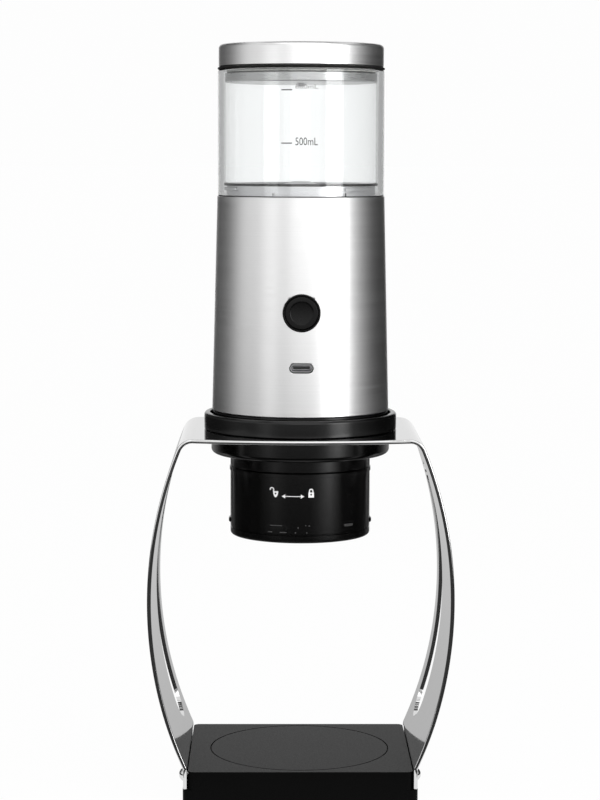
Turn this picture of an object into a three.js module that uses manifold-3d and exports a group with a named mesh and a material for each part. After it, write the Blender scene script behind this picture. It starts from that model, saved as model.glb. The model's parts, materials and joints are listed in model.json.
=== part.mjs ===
// Portable espresso maker standing in its own stand.
// Millimetres, +Z up, +Y to the back.
// The origin is under the machine's axis, on the surface that the feet stand on.
import * as THREE from "three";
import { mergeVertices } from "three/addons/utils/BufferGeometryUtils.js";
import Module from "manifold-3d";

const wasm = await Module();
wasm.setup();

// Shared fits
const seatGap = 0.3; // between two pieces that seat on each other
const slideGap = 0.5; // round a piece that turns or slides
const cutOverrun = 1; // how far a cutting shape runs past what it cuts

// How finely round pieces are cut
const roundSides = 32;
const smallSides = 16;
const tinySides = 10;

// Stand base
const footHeight = 1.5;
const footDiameter = 12;
const baseHeight = 12.5;
const baseLipHeight = 5;
const baseLipStep = 0.2;
const baseWall = 3;
const baseEdgeBevel = 0.7;
const baseCornerRound = 2.5; // of the upright corners
const bottomPlateThickness = 2;
const ballastHeight = 4;
const ballastWidth = 52;
const ballastDepth = 60;
const cupPadDiameter = 74;
const cupPadThickness = 1;

// Stand strap: one sheet bent into a flat top, two bowed arms and two short feet
const strapThickness = 1.6;
const strapWidth = 80;
const strapTopHeight = 135.2; // above the base's top face
const strapFeetWidth = 94.8; // across the outsides of the two feet
const armReach = 61.7; // from the axis to the widest point of an arm
const armWidestShare = 0.507; // of the flat top's height, where an arm is widest
const armFootLift = 0.9; // above the base's top face, where an arm's curve meets its foot
const strapTopBend = 6.7;
const strapFootBend = 2;
const strapTopBulge = 5.5; // how far the front and back edges of the flat top bow out
const armSlotWidth = 21;
const armSlotOffset = 18; // from the middle of the strap towards the back
const armSlotBottom = 9; // above the base's top face
const armSlotLength = 110;

// Screws of the strap's feet
const strapScrewDiameter = 2.6;
const strapScrewHeadDiameter = 5.7;
const strapScrewHeadHeight = 2;
const strapScrewLength = 9;
const strapScrewSpacing = 54;
const strapScrewLift = 0.35; // from the base's lip up to the head's edge

// Socket ring and clamp ring
const socketGap = 0.9; // between the machine's shell and the ring round it
const ringWall = 2.4;
const ringHeight = 7.1;
const ringLedgeThickness = 1.5;
const ringBoreGap = 2.1; // between the machine's neck and the ring's bore
const ringEdgeRound = 1.2;
const clampRingWall = 2.9;
const clampRingHeight = 8.2;
const clampRingRound = 2;
const spigotWall = 2.6;

// Machine body
const shellHeight = 87.7;
const shellTopDiameter = 68.5;
const shellBottomDiameter = 72.8;
const shellWall = 1;
const shellEdgeRound = 0.5;
const baseCapHeight = 6;
const baseCapFloor = 2.5;
const baseCapRimHeight = 3;
const baseCapRimWall = 2;
const baseCapRimStep = 2; // from the shell's side in to the cap's rim
const baseCapBore = 44;

// Group head, the neck that the holder twists on to
const neckDiameter = 57.8;
const neckWall = 2.2;
const neckHeight = 16.7;
const neckFloorDepth = 8.7; // from the neck's top to its floor
const neckFloor = 2.5;
const neckBore = 4;
const neckScrewCount = 3;
const firstNeckScrewAngle = 30; // degrees from +X
const neckScrewDiameter = 2.4;
const neckScrewHead = 4.2;
const neckScrewHeadHeight = 1.8;
const neckScrewLength = 6.5;
const neckBossWall = 1.4;
const gasketHeight = 2.4;
const gasketWidth = 4;
const showerScreenThickness = 1;
const showerScrewHead = 5;
const showerScrewDiameter = 2;
const showerScrewLength = 1.8;

// Bayonets
const lugCount = 3;
const lugAngle = 32; // degrees that one lug spans
const tankLugAngle = 66;
const firstTankLugAngle = -24; // degrees from +X
const firstDeckLugAngle = -41; // so that a twist of the tank's lugs clears the deck's
const lugHeight = 1.3;
const lugReach = 0.9;

// Holder and basket
const holderHeight = 28.3;
const holderWall = 2.1;
const holderLip = 0.3;
const holderLipHeight = 1.6;
const holderEdgeRound = 1.2;
const holderGrooveHeight = 3.1; // above the holder's bottom edge
const holderGrooveWidth = 0.5;
const holderGrooveDepth = 0.4;
const holderShoulder = 2.5;
const collarWall = 1.2;
const gripHeight = 5.4; // above the holder's bottom edge
const gripTall = 2;
const gripWide = 5;
const gripProud = 0.7;
const basketRimThickness = 0.8;
const basketWall = 0.8;
const basketDepth = 19;
const spoutFloor = 2;
const spoutNozzleDiameter = 9;
const spoutNozzleLength = 5;
const spoutBore = 3.6;

// Chassis, cells and board
const chassisFloor = 3;
const chassisRecess = 0.8;
const postDiameter = 5.4;
const tubePostAngle = 22; // degrees from the inlet tube to the post beside it
const backPostAngle = 12; // degrees from the other rear channel to its post
const cellDiameter = 18.3;
const cellCount = 3;
const firstCellAngle = 90; // degrees from +X, the cell at the back
const retainerThickness = 2.5;
const cellWallGap = 1.5; // between a cell and the shell
const heaterClearance = 3.5; // above the cell retainer
const boardWidth = 30;
const boardTopGap = 12.5; // below the cell retainer
const boardThickness = 1.6;
const boardBottom = 5.5; // above the chassis floor

// Motor, gears and pump
const motorLength = 30.8;
const motorShaftDiameter = 2.3;
const motorShaftEngagement = 5;
const motorCellGap = 1.2;
const gearModule = 0.6;
const pinionTeeth = 10;
const pumpGearTeeth = 30;
const gearThickness = 4.5;
const gearRoom = 7; // height of the space under the chassis floor
const gearBacklash = 0.5;
const toothTipShare = 0.55; // width of a tooth's tip, as a share of its width on the pitch circle
const toothRootShare = 1.35;
const toothHeightShare = 0.9; // in gear modules, outside the pitch circle
const toothDepthShare = 1.25; // in gear modules, inside the pitch circle
const pumpShaftDiameter = 4;
const pumpShaftEngagement = 5;
const pumpWall = 3.2;
const tubeDiameter = 4.6;
const tubeWall = 1.1;

// Button and port
const buttonHeight = 41.9; // above the shell's bottom edge
const bezelDiameter = 15;
const bezelWall = 0.6;
const bezelProud = 0.3;
const bezelFlange = 1.3;
const buttonTravel = 0.8;
const buttonDishDiameter = 9.3;
const buttonDishDepth = 0.4;
const buttonFlange = 0.7;
const portHeight = 19.9; // above the shell's bottom edge
const portSideGap = 0.48; // from the port's shell out to the ends of its opening
const portTopGap = 0.32;
const portWidth = 8.94;
const portThickness = 3.26;
const portWall = 0.3;
const tongueWidth = 6.7;
const tongueThickness = 0.7;
const tongueInset = 0.8;
const switchWidth = 6;
const switchPlunger = 3.5;
const switchPlungerHeight = 0.7;

// Tank deck and heater
const deckFlange = 2.4;
const deckStepHeight = 4;
const deckDish = 1.2;
const deckDishRim = 3;
const deckBore = 5;
const heaterHeight = 8.5;
const heaterDiameter = 56;
const heaterGroove = 2;
const sealHeight = 1;
const sealWidth = 1.2;
const inletScreenDiameter = 14;
const inletScreenHeight = 1.6;

// Tank
const tankDiameter = 68.2;
const tankWall = 2.4;
const tankHeight = 50.6;
const tankRimRound = 0.6;

// Lid
const lidStep = 0.45; // from the tank's side in to the lid's
const lidHeight = 9;
const lidWall = 1.2;
const lidEdgeRound = 1.7;
const lidSealHeight = 0.9;
const lidPlugGap = 0.7; // between the plug's skirt and the tank's bore
const lidCoreStep = 0.4; // from the skirt's side in to the core's
const lidSkirtHeight = 3.8;
const lidSkirtWall = 0.8;
const lidSkirtDrop = 1.25; // from the tank's rim down to the skirt's top edge
const lidScrewHead = 5;
const lidScrewDiameter = 2.4;
const lidScrewLength = 5;

// Colours as seen in the photograph, with roughness and metalness
const finishes = {
  brushedSteel: { color: 0xb9b9b9, roughness: 0.32, metalness: 1 },
  polishedSteel: { color: 0xd6d6d6, roughness: 0.12, metalness: 1 },
  blackPlastic: { color: 0x141414, roughness: 0.38, metalness: 0 },
  matteBlack: { color: 0x1b1b1b, roughness: 0.62, metalness: 0 },
  rubber: { color: 0x0f0f0f, roughness: 0.85, metalness: 0 },
  clearPlastic: { color: 0xf4f7f7, roughness: 0.06, metalness: 0, transparent: true, opacity: 0.25 },
  darkSteel: { color: 0x6a6d70, roughness: 0.5, metalness: 1 },
  aluminium: { color: 0xa8abad, roughness: 0.45, metalness: 1 },
  brass: { color: 0xb08d45, roughness: 0.4, metalness: 1 },
  cellWrap: { color: 0x2f6f8f, roughness: 0.5, metalness: 0 },
  boardGreen: { color: 0x1d5a34, roughness: 0.55, metalness: 0 },
  greyPlastic: { color: 0x55585a, roughness: 0.6, metalness: 0 },
  silicone: { color: 0xd9d9d2, roughness: 0.6, metalness: 0 },
};
for (const name of Object.keys(finishes)) {
  finishes[name] = new THREE.MeshStandardMaterial({ name, ...finishes[name] });
}

// Shape helpers

// A round solid: [radius, height] points turned about the Z axis.
function turned(profile, sides = roundSides) {
  const points = profile.map(([radius, height]) => new THREE.Vector2(radius, height));
  return new THREE.LatheGeometry(points, sides).rotateX(Math.PI / 2);
}

// A plain disc or rod about the Z axis.
function disc(radius, bottom, top, sides = roundSides) {
  return turned([[0, bottom], [radius, bottom], [radius, top], [0, top]], sides);
}

// A plain ring about the Z axis.
function ring(inner, outer, bottom, top, sides = roundSides) {
  return turned([[inner, bottom], [outer, bottom], [outer, top], [inner, top], [inner, bottom]], sides);
}

// A box centred on x and y, standing on its bottom.
function block(width, depth, bottom, top) {
  return new THREE.BoxGeometry(width, depth, top - bottom).translate(0, 0, (bottom + top) / 2);
}

// Points on an arc about [x, y], from one angle to another in degrees.
function arc(x, y, radius, from, to, steps) {
  const points = [];
  for (let step = 0; step <= steps; step++) {
    const angle = THREE.MathUtils.degToRad(from + ((to - from) * step) / steps);
    points.push([x + radius * Math.cos(angle), y + radius * Math.sin(angle)]);
  }
  return points;
}

// An outline in X and Y, given a thickness from bottom to top.
function slab(outline, bottom, top) {
  const shape = new THREE.Shape(outline.map(([x, y]) => new THREE.Vector2(x, y)));
  const geometry = new THREE.ExtrudeGeometry(shape, { depth: top - bottom, bevelEnabled: false });
  return geometry.translate(0, 0, bottom);
}

// An outline in X and Z, given a depth from front to back.
function profileSlab(outline, front, back) {
  return slab(outline, -back, -front).rotateX(Math.PI / 2);
}

// The outline of a rectangle with round corners, about its own middle.
function roundedRectangle(width, height, corner, steps) {
  const x = width / 2 - corner;
  const y = height / 2 - corner;
  return [
    ...arc(x, y, corner, 0, 90, steps),
    ...arc(-x, y, corner, 90, 180, steps),
    ...arc(-x, -y, corner, 180, 270, steps),
    ...arc(x, -y, corner, 270, 360, steps),
  ];
}

// A ring sector about the Z axis, centred on an angle in degrees.
function sector(inner, outer, middle, span, bottom, top, steps = 8) {
  const outline = [
    ...arc(0, 0, outer, middle - span / 2, middle + span / 2, steps),
    ...arc(0, 0, inner, middle + span / 2, middle - span / 2, steps),
  ];
  return slab(outline, bottom, top);
}

function toSolid(geometry) {
  const bare = geometry.clone();
  bare.deleteAttribute("normal");
  bare.deleteAttribute("uv");
  const merged = mergeVertices(bare);
  return new wasm.Manifold(
    new wasm.Mesh({
      numProp: 3,
      vertProperties: merged.attributes.position.array,
      triVerts: new Uint32Array(merged.index.array),
    }),
  );
}

function toGeometry(solid) {
  const mesh = solid.getMesh();
  const geometry = new THREE.BufferGeometry();
  geometry.setAttribute("position", new THREE.BufferAttribute(mesh.vertProperties, mesh.numProp));
  geometry.setIndex(new THREE.BufferAttribute(mesh.triVerts, 1));
  geometry.computeVertexNormals();
  return geometry;
}

function joined(...geometries) {
  return toGeometry(geometries.map(toSolid).reduce((whole, piece) => whole.add(piece)));
}

function common(geometry, other) {
  return toGeometry(toSolid(geometry).intersect(toSolid(other)));
}

function cut(geometry, ...cutters) {
  const whole = toSolid(geometry);
  return toGeometry(cutters.map(toSolid).reduce((left, cutter) => left.subtract(cutter), whole));
}

// A small round cutter for a screw or a shaft, from one height to another.
function drill(diameter, gap, bottom, top, [x, y] = [0, 0], sides = tinySides) {
  return disc(diameter / 2 + gap, bottom, top, sides).translate(x, y, 0);
}

function piece(name, finish, geometry, height = 0) {
  const mesh = new THREE.Mesh(geometry, finishes[finish]);
  mesh.name = name;
  mesh.position.z = height;
  return mesh;
}

// Worked-out places, heights above the surface the stand is on
const armWidestHeight = strapTopHeight * armWidestShare;
const baseTop = footHeight + baseHeight;
const strapTop = baseTop + strapTopHeight;
const machineHeight = strapTop + ringLedgeThickness + seatGap;

// Worked-out sizes of the two rings
const ringBore = neckDiameter / 2 + ringBoreGap;
const ringRadius = shellBottomDiameter / 2 + socketGap + ringWall;
const clampRingBore = ringBore + spigotWall + seatGap;

// Worked-out places, heights above the machine's resting face
const shellBottom = baseCapHeight + seatGap;
const shellTop = shellBottom + shellHeight;
const tankBottom = shellTop + seatGap;
const neckTop = -seatGap;
const neckBottom = neckTop - neckHeight;
const holderTop = neckBottom - seatGap;
const holderBottom = holderTop - holderHeight;
const capRimTop = shellBottom + baseCapRimHeight;
const chassisBottom = Math.max(capRimTop, baseCapFloor + gearRoom) + seatGap;
const chassisTop = chassisBottom + chassisFloor;
const deckBottom = shellTop - deckFlange;
const heaterTop = deckBottom - seatGap;
const heaterBottom = heaterTop - heaterHeight;
const retainerTop = heaterBottom - heaterClearance;
const retainerBottom = retainerTop - retainerThickness;
const cellBottom = chassisTop - chassisRecess + seatGap;
const cellLength = retainerBottom + chassisRecess - seatGap - cellBottom;

// The shell tapers, so its radius depends on the height above its bottom edge.
function shellRadius(height) {
  const share = height / shellHeight;
  return (shellBottomDiameter + (shellTopDiameter - shellBottomDiameter) * share) / 2;
}
const shellBore = Math.min(shellTopDiameter, shellBottomDiameter) / 2 - shellWall;
const cellCircle = shellBore - cellWallGap - cellDiameter / 2;
const cellPlaces = evenAngles(cellCount, firstCellAngle).map((angle) => polar(cellCircle, angle));

// Angles in degrees of pieces spread evenly round the axis.
function evenAngles(count, first) {
  return Array.from({ length: count }, (_, index) => first + (360 / count) * index);
}

function polar(radius, degrees) {
  const angle = THREE.MathUtils.degToRad(degrees);
  return [radius * Math.cos(angle), radius * Math.sin(angle)];
}

// Stand

const footInset = footDiameter / 2 + baseWall;
const footPlaces = [-1, 1].flatMap((side) =>
  [-1, 1].map((end) => [side * (strapFeetWidth / 2 - footInset), end * (strapWidth / 2 - footInset)]),
);
const baseHalfWidth = strapFeetWidth / 2 - strapThickness - seatGap;
const screwHeight = footHeight + baseLipHeight + strapScrewLift + strapScrewHeadDiameter / 2;

function strapScrewPlaces() {
  return [-1, 1].flatMap((side) => [-1, 1].map((end) => [side, (end * strapScrewSpacing) / 2]));
}

// A rod along X, from one X to another.
function rodAlongX(radius, from, to, y, z, sides) {
  const rod = disc(radius, Math.min(from, to), Math.max(from, to), sides);
  return rod.rotateY(Math.PI / 2).translate(0, y, z);
}

function baseBlock() {
  const lipTop = footHeight + baseLipHeight;
  const lipHalf = strapFeetWidth / 2 + baseLipStep;
  const half = baseHalfWidth;
  const outline = [
    [-lipHalf, footHeight],
    [lipHalf, footHeight],
    [lipHalf, lipTop],
    [half, lipTop],
    [half, baseTop - baseEdgeBevel],
    [half - baseEdgeBevel, baseTop],
    [baseEdgeBevel - half, baseTop],
    [-half, baseTop - baseEdgeBevel],
    [-half, lipTop],
    [-lipHalf, lipTop],
  ];
  const corners = joined(
    slab(roundedRectangle(2 * lipHalf, strapWidth, baseCornerRound, 3), footHeight, lipTop),
    slab(roundedRectangle(2 * half, strapWidth, baseCornerRound, 3), footHeight, baseTop),
  );
  const body = common(profileSlab(outline, -strapWidth / 2, strapWidth / 2), corners);
  const padFloor = baseTop - cupPadThickness - seatGap;
  const hollow = block(
    2 * (half - baseWall) - strapScrewLength,
    strapWidth - 2 * baseWall,
    footHeight - cutOverrun,
    padFloor - baseWall,
  );
  const plateRecess = block(
    strapFeetWidth - 2 * baseWall,
    strapWidth - 2 * baseWall,
    footHeight - cutOverrun,
    footHeight + bottomPlateThickness + seatGap,
  );
  const padRecess = disc(cupPadDiameter / 2 + seatGap, padFloor, baseTop + cutOverrun);
  const screwHoles = strapScrewPlaces().map(([side, y]) =>
    rodAlongX(
      strapScrewDiameter / 2 + seatGap,
      side * (half + cutOverrun),
      side * (half - strapScrewLength),
      y,
      screwHeight,
      tinySides,
    ),
  );
  return cut(body, hollow, plateRecess, padRecess, ...screwHoles);
}

function bottomPlate() {
  const bottom = footHeight + seatGap;
  const width = strapFeetWidth - 2 * (baseWall + seatGap);
  const depth = strapWidth - 2 * (baseWall + seatGap);
  const plate = block(width, depth, bottom, footHeight + bottomPlateThickness);
  const socketTop = bottom + bottomPlateThickness / 2;
  const sockets = footPlaces.map((place) =>
    drill(footDiameter, seatGap, bottom - cutOverrun, socketTop, place, smallSides),
  );
  return cut(plate, ...sockets);
}

function ballast() {
  const bottom = footHeight + bottomPlateThickness + seatGap;
  return block(ballastWidth, ballastDepth, bottom, bottom + ballastHeight);
}

function foot() {
  const top = footHeight + bottomPlateThickness / 2;
  const radius = footDiameter / 2;
  const edge = footHeight / 3;
  return turned([[0, 0], [radius - edge, 0], [radius, edge], [radius, top], [0, top]], smallSides);
}

function cupPad() {
  return disc(cupPadDiameter / 2, baseTop - cupPadThickness, baseTop);
}

// The right half of the strap's bent sheet: its outer and inner faces, from the top bend to the foot.
function strapHalf() {
  const bow = armReach - strapFeetWidth / 2;
  const rise = armWidestHeight - armFootLift;
  const armRadius = (bow ** 2 + rise ** 2) / (2 * bow);
  const armX = armReach - armRadius;
  const armZ = baseTop + armWidestHeight;
  const bendZ = strapTop - strapTopBend;
  const bendAngle = THREE.MathUtils.radToDeg(Math.asin((bendZ - armZ) / (armRadius - strapTopBend)));
  const [bendDx] = polar(armRadius - strapTopBend, bendAngle);
  const bendX = armX + bendDx;
  const footX = strapFeetWidth / 2 + strapFootBend;
  const footAngle = THREE.MathUtils.radToDeg(Math.acos((footX - armX) / (armRadius + strapFootBend)));
  const footZ = armZ + polar(armRadius + strapFootBend, -footAngle)[1];
  const footEnd = footHeight + baseLipHeight + seatGap;
  function face(depth) {
    return [
      ...arc(bendX, bendZ, strapTopBend - depth, 90, bendAngle, 5),
      ...arc(armX, armZ, armRadius - depth, bendAngle, -footAngle, 20).slice(1),
      ...arc(footX, footZ, strapFootBend + depth, 180 - footAngle, 180, 3).slice(1),
      [strapFeetWidth / 2 - depth, footEnd],
    ];
  }
  return { outer: face(0), inner: face(strapThickness), bendX };
}

function strap() {
  const { outer, inner, bendX } = strapHalf();
  const mirrored = (points) => points.map(([x, z]) => [-x, z]);
  const outline = [
    ...outer,
    ...[...inner].reverse(),
    ...mirrored(inner),
    ...mirrored([...outer].reverse()),
  ];
  const sheet = profileSlab(outline, -strapWidth / 2, strapWidth / 2);
  const bulgeRadius = (bendX ** 2 + strapTopBulge ** 2) / (2 * strapTopBulge);
  const bulgeY = strapWidth / 2 + strapTopBulge - bulgeRadius;
  const bulgeAngle = THREE.MathUtils.radToDeg(Math.asin(bendX / bulgeRadius));
  const back = arc(0, bulgeY, bulgeRadius, 90 - bulgeAngle, 90 + bulgeAngle, 12);
  const front = back.map(([x, y]) => [-x, -y]);
  const flatTop = slab([...back, ...front], strapTop - strapThickness, strapTop);
  const bore = disc(clampRingBore, strapTop - strapThickness - cutOverrun, strapTop + cutOverrun);
  const slotMiddle = baseTop + armSlotBottom + armSlotLength / 2;
  const slots = slab(
    roundedRectangle(armSlotLength, armSlotWidth, armSlotWidth / 2, 6),
    -armReach - cutOverrun,
    armReach + cutOverrun,
  )
    .rotateY(Math.PI / 2)
    .translate(0, armSlotOffset, slotMiddle);
  const holes = strapScrewPlaces().map(([side, y]) =>
    rodAlongX(
      strapScrewDiameter / 2 + seatGap,
      side * (strapFeetWidth / 2 - strapThickness - cutOverrun),
      side * (strapFeetWidth / 2 + cutOverrun),
      y,
      screwHeight,
      tinySides,
    ),
  );
  return cut(joined(sheet, flatTop), bore, slots, ...holes);
}

// A dome-head screw whose shank points along -Z from the underside of its head.
function domeScrew(headDiameter, headHeight, shankDiameter, length, sides = smallSides) {
  const headRadius = headDiameter / 2;
  const domeRadius = (headRadius ** 2 + headHeight ** 2) / (2 * headHeight);
  const edgeAngle = THREE.MathUtils.radToDeg(Math.acos(headRadius / domeRadius));
  const dome = arc(0, headHeight - domeRadius, domeRadius, edgeAngle, 90, 3).slice(0, -1);
  const shank = shankDiameter / 2;
  return turned([[0, -length], [shank, -length], [shank, 0], ...dome, [0, headHeight]], sides);
}

function strapScrew(side) {
  const headHeight = strapScrewHeadHeight;
  const screw = domeScrew(strapScrewHeadDiameter, headHeight, strapScrewDiameter, strapScrewLength);
  return screw.rotateY((side * Math.PI) / 2);
}

// The ring's spigot drops through the strap, and the clamp ring is tightened on to it from below.
function socketRing() {
  const outer = ringRadius;
  const bore = ringBore;
  const bottom = strapTop + seatGap / 2;
  const spigotBottom = strapTop - strapThickness - clampRingHeight;
  return turned([
    [bore, spigotBottom],
    [bore + spigotWall, spigotBottom],
    [bore + spigotWall, bottom],
    [outer, bottom],
    [outer, strapTop + ringHeight - ringEdgeRound],
    [outer - ringEdgeRound / 3, strapTop + ringHeight - ringEdgeRound / 3],
    [outer - ringEdgeRound, strapTop + ringHeight],
    [outer - ringWall, strapTop + ringHeight],
    [outer - ringWall, strapTop + ringLedgeThickness],
    [bore, strapTop + ringLedgeThickness],
    [bore, spigotBottom],
  ]);
}

function clampRing() {
  const inner = clampRingBore;
  const outer = inner + clampRingWall;
  const top = strapTop - strapThickness - seatGap / 2;
  const bottom = top - clampRingHeight;
  return turned([
    [inner, bottom],
    ...arc(outer - clampRingRound, bottom + clampRingRound, clampRingRound, -90, 0, 4),
    [outer, top],
    [inner, top],
    [inner, bottom],
  ]);
}

// Machine body

// Turns a shape drawn about Z so that its top faces the front, and lifts it to a height.
function facingFront(geometry, height) {
  return geometry.rotateX(Math.PI / 2).translate(0, 0, height);
}

const buttonRadiusOut = shellRadius(buttonHeight) + bezelProud;
const bezelBack = buttonRadiusOut - shellSag(bezelDiameter / 2 + bezelFlange, buttonHeight);
const boardFront = bezelBack - bezelFlange - seatGap - switchDepthRoom();

// How far the shell's inner face lies behind the bezel's front, at a distance to the side.
function shellSag(side, height) {
  const inner = Math.min(shellRadius(height - side), shellRadius(height + side)) - shellWall;
  return bezelProud + shellRadius(height) - Math.sqrt(inner ** 2 - side ** 2) + seatGap;
}

// The depth that the button's flange, its travel and the switch take up behind the bezel.
function switchDepthRoom() {
  return buttonFlange + buttonTravel + seatGap + switchPlungerHeight + switchWidth / 3;
}

function bodyShell() {
  const bottom = shellBottomDiameter / 2;
  const top = shellTopDiameter / 2;
  const tube = turned([
    [bottom - shellEdgeRound, 0],
    [bottom - shellEdgeRound / 3, shellEdgeRound / 3],
    [bottom, shellEdgeRound],
    [top, shellHeight],
    [top - shellWall, shellHeight],
    [bottom - shellWall, shellEdgeRound],
    [bottom - shellEdgeRound - shellWall / 2, 0],
    [bottom - shellEdgeRound, 0],
  ]);
  const reach = Math.max(bottom, top) + cutOverrun;
  const buttonHole = facingFront(disc(bezelDiameter / 2 + seatGap, 0, reach, smallSides * 2), buttonHeight);
  const openingHeight = portThickness + 2 * portTopGap;
  const openingWidth = portWidth + 2 * portSideGap;
  const portOutline = roundedRectangle(openingWidth, openingHeight, openingHeight / 2 - seatGap / 2, 4);
  const portHole = facingFront(slab(portOutline, 0, reach), portHeight);
  return cut(tube, buttonHole, portHole);
}

// Screws that hold the neck up to the base cap, between the neck's wall and the cap's bore.
const neckScrewCircle = neckDiameter / 2 - neckWall - seatGap - neckScrewHead / 2;
const neckScrewAngles = evenAngles(neckScrewCount, firstNeckScrewAngle);
const neckScrewPlaces = neckScrewAngles.map((angle) => polar(neckScrewCircle, angle));
const neckBossRadius = neckScrewDiameter / 2 + seatGap + neckBossWall;

function baseCap() {
  const radius = shellBottomDiameter / 2 - 2 * seatGap / 3;
  const rim = shellBottomDiameter / 2 - baseCapRimStep;
  const bowl = turned([
    [baseCapBore / 2, 0],
    [radius - seatGap, 0],
    [radius, seatGap],
    [radius, baseCapHeight],
    [rim, baseCapHeight],
    [rim, capRimTop],
    [rim - baseCapRimWall, capRimTop],
    [rim - baseCapRimWall, baseCapFloor],
    [baseCapBore / 2, baseCapFloor],
    [baseCapBore / 2, 0],
  ]);
  const holes = neckScrewPlaces.map((place) =>
    drill(neckScrewDiameter, seatGap, -cutOverrun, baseCapFloor + cutOverrun, place),
  );
  return cut(bowl, ...holes);
}

const neckInner = neckDiameter / 2 - neckWall;
const collarRadius = neckInner - lugReach - seatGap;
const collarInner = collarRadius - collarWall;
const brewBottom = neckTop - neckFloorDepth - neckFloor;

// The neck is a tube with a floor: the pump hangs above the floor and the coffee is brewed below it.
function groupHead() {
  const outer = neckDiameter / 2;
  const inner = neckInner;
  const floorTop = neckTop - neckFloorDepth;
  const tube = turned([
    [neckBore / 2, brewBottom],
    [inner, brewBottom],
    [inner, neckBottom],
    [outer, neckBottom],
    [outer, neckTop],
    [inner, neckTop],
    [inner, floorTop],
    [neckBore / 2, floorTop],
    [neckBore / 2, brewBottom],
  ]);
  const lugs = evenAngles(lugCount, 0).map((angle) =>
    sector(inner - lugReach, inner + neckWall / 2, angle, lugAngle, neckBottom, neckBottom + lugHeight),
  );
  const bosses = neckScrewPlaces.map((place) =>
    drill(2 * neckBossRadius, 0, floorTop - neckFloor / 2, neckTop, place, smallSides),
  );
  const screwEnd = baseCapFloor - neckScrewLength - seatGap;
  const screwHoles = neckScrewPlaces.map((place) =>
    drill(neckScrewDiameter, seatGap, screwEnd, cutOverrun, place),
  );
  const showerTop = brewBottom + neckFloor / 2;
  const showerPlace = [showerScrewOffset, 0];
  const showerHole = drill(showerScrewDiameter, seatGap, brewBottom - cutOverrun, showerTop, showerPlace);
  return cut(joined(tube, ...lugs, ...bosses), ...screwHoles, showerHole);
}

function neckScrew() {
  return domeScrew(neckScrewHead, neckScrewHeadHeight, neckScrewDiameter, neckScrewLength, tinySides);
}

const showerScrewOffset = neckBore / 2 + showerScrewHead / 2 + seatGap;
const gasketOuter = collarInner - seatGap;
const screenRadius = gasketOuter - gasketWidth - seatGap;

function groupGasket() {
  const top = brewBottom - seatGap;
  return ring(gasketOuter - gasketWidth, gasketOuter, top - gasketHeight, top);
}

function showerScreen() {
  const top = brewBottom - seatGap;
  const bottom = top - showerScreenThickness;
  const plate = disc(screenRadius, bottom, top);
  const place = [showerScrewOffset, 0];
  const hole = drill(showerScrewDiameter, seatGap, bottom - cutOverrun, top + cutOverrun, place);
  return cut(plate, hole);
}

function showerScrew() {
  const height = showerScreenThickness;
  const screw = domeScrew(showerScrewHead, height, showerScrewDiameter, showerScrewLength, tinySides);
  return screw.rotateX(Math.PI);
}

// Chassis, cells and board

const pumpRadius = Math.min(baseCapBore / 2, neckScrewCircle - neckBossRadius) - seatGap;
const tubeCircle = pumpRadius - pumpWall - tubeDiameter / 2;
const tubeAngle = firstCellAngle - 180 / cellCount;
const tubePlace = polar(tubeCircle, tubeAngle);
const motorRadius = Math.min(
  cellCircle - cellDiameter / 2 - motorCellGap,
  tubeCircle - tubeDiameter / 2 - 2 * slideGap,
);
const pumpGearOffset = (gearModule * (pinionTeeth + pumpGearTeeth)) / 2;
const boardBack = boardFront - boardThickness;
const postCircle = shellBore - cellWallGap - postDiameter / 2;
const boardPostDepth = seatGap + postDiameter / 2 - boardBack;
const postPlaces = [
  [-boardWidth / 4, boardPostDepth],
  [boardWidth / 4, boardPostDepth],
  polar(postCircle, tubeAngle + tubePostAngle),
  polar(postCircle, firstCellAngle + 180 / cellCount - backPostAngle),
];
const chassisRadius = shellBore - seatGap;

function chassis() {
  const floor = disc(chassisRadius, chassisBottom, chassisTop);
  const posts = postPlaces.map((place) =>
    drill(postDiameter, 0, chassisTop - chassisFloor / 2, retainerBottom - seatGap, place),
  );
  const recessFloor = chassisTop - chassisRecess;
  const recesses = cellPlaces.map((place) =>
    drill(cellDiameter, seatGap, recessFloor, chassisTop + cutOverrun, place, smallSides),
  );
  const under = chassisBottom - cutOverrun;
  const over = chassisTop + cutOverrun;
  const shaftHole = drill(motorShaftDiameter, slideGap, under, over);
  const axleTop = chassisBottom + chassisFloor / 2;
  const axleHole = drill(pumpShaftDiameter, slideGap, under, axleTop, [0, pumpGearOffset]);
  const tubeHole = drill(tubeDiameter, slideGap, under, over, tubePlace);
  return cut(joined(floor, ...posts), ...recesses, shaftHole, axleHole, tubeHole);
}

function cellRetainer() {
  const plate = disc(chassisRadius, retainerBottom, retainerTop);
  const under = retainerBottom - cutOverrun;
  const recesses = cellPlaces.map((place) =>
    drill(cellDiameter, seatGap, under, retainerBottom + chassisRecess, place, smallSides),
  );
  const tubeHole = drill(tubeDiameter, slideGap, under, retainerTop + cutOverrun, tubePlace);
  return cut(plate, ...recesses, tubeHole);
}

// A round can with a small bevel round each end, standing at height zero.
function can(radius, length, sides) {
  const edge = radius / 9;
  return turned(
    [
      [0, 0],
      [radius - edge, 0],
      [radius, edge],
      [radius, length - edge],
      [radius - edge, length],
      [0, length],
    ],
    sides,
  );
}

function controlBoard() {
  const board = block(boardWidth, boardThickness, chassisTop + boardBottom, retainerBottom - boardTopGap);
  return board.translate(0, -(boardFront + boardBack) / 2, 0);
}

function tactSwitch() {
  const depth = switchWidth / 3 - seatGap;
  const body = slab(roundedRectangle(switchWidth, switchWidth, switchWidth / 12, 2), 0, depth);
  const plunger = disc(switchPlunger / 2, depth / 2, depth + switchPlungerHeight, smallSides);
  return facingFront(joined(body, plunger), 0).translate(0, -(boardFront + seatGap), 0);
}

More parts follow.
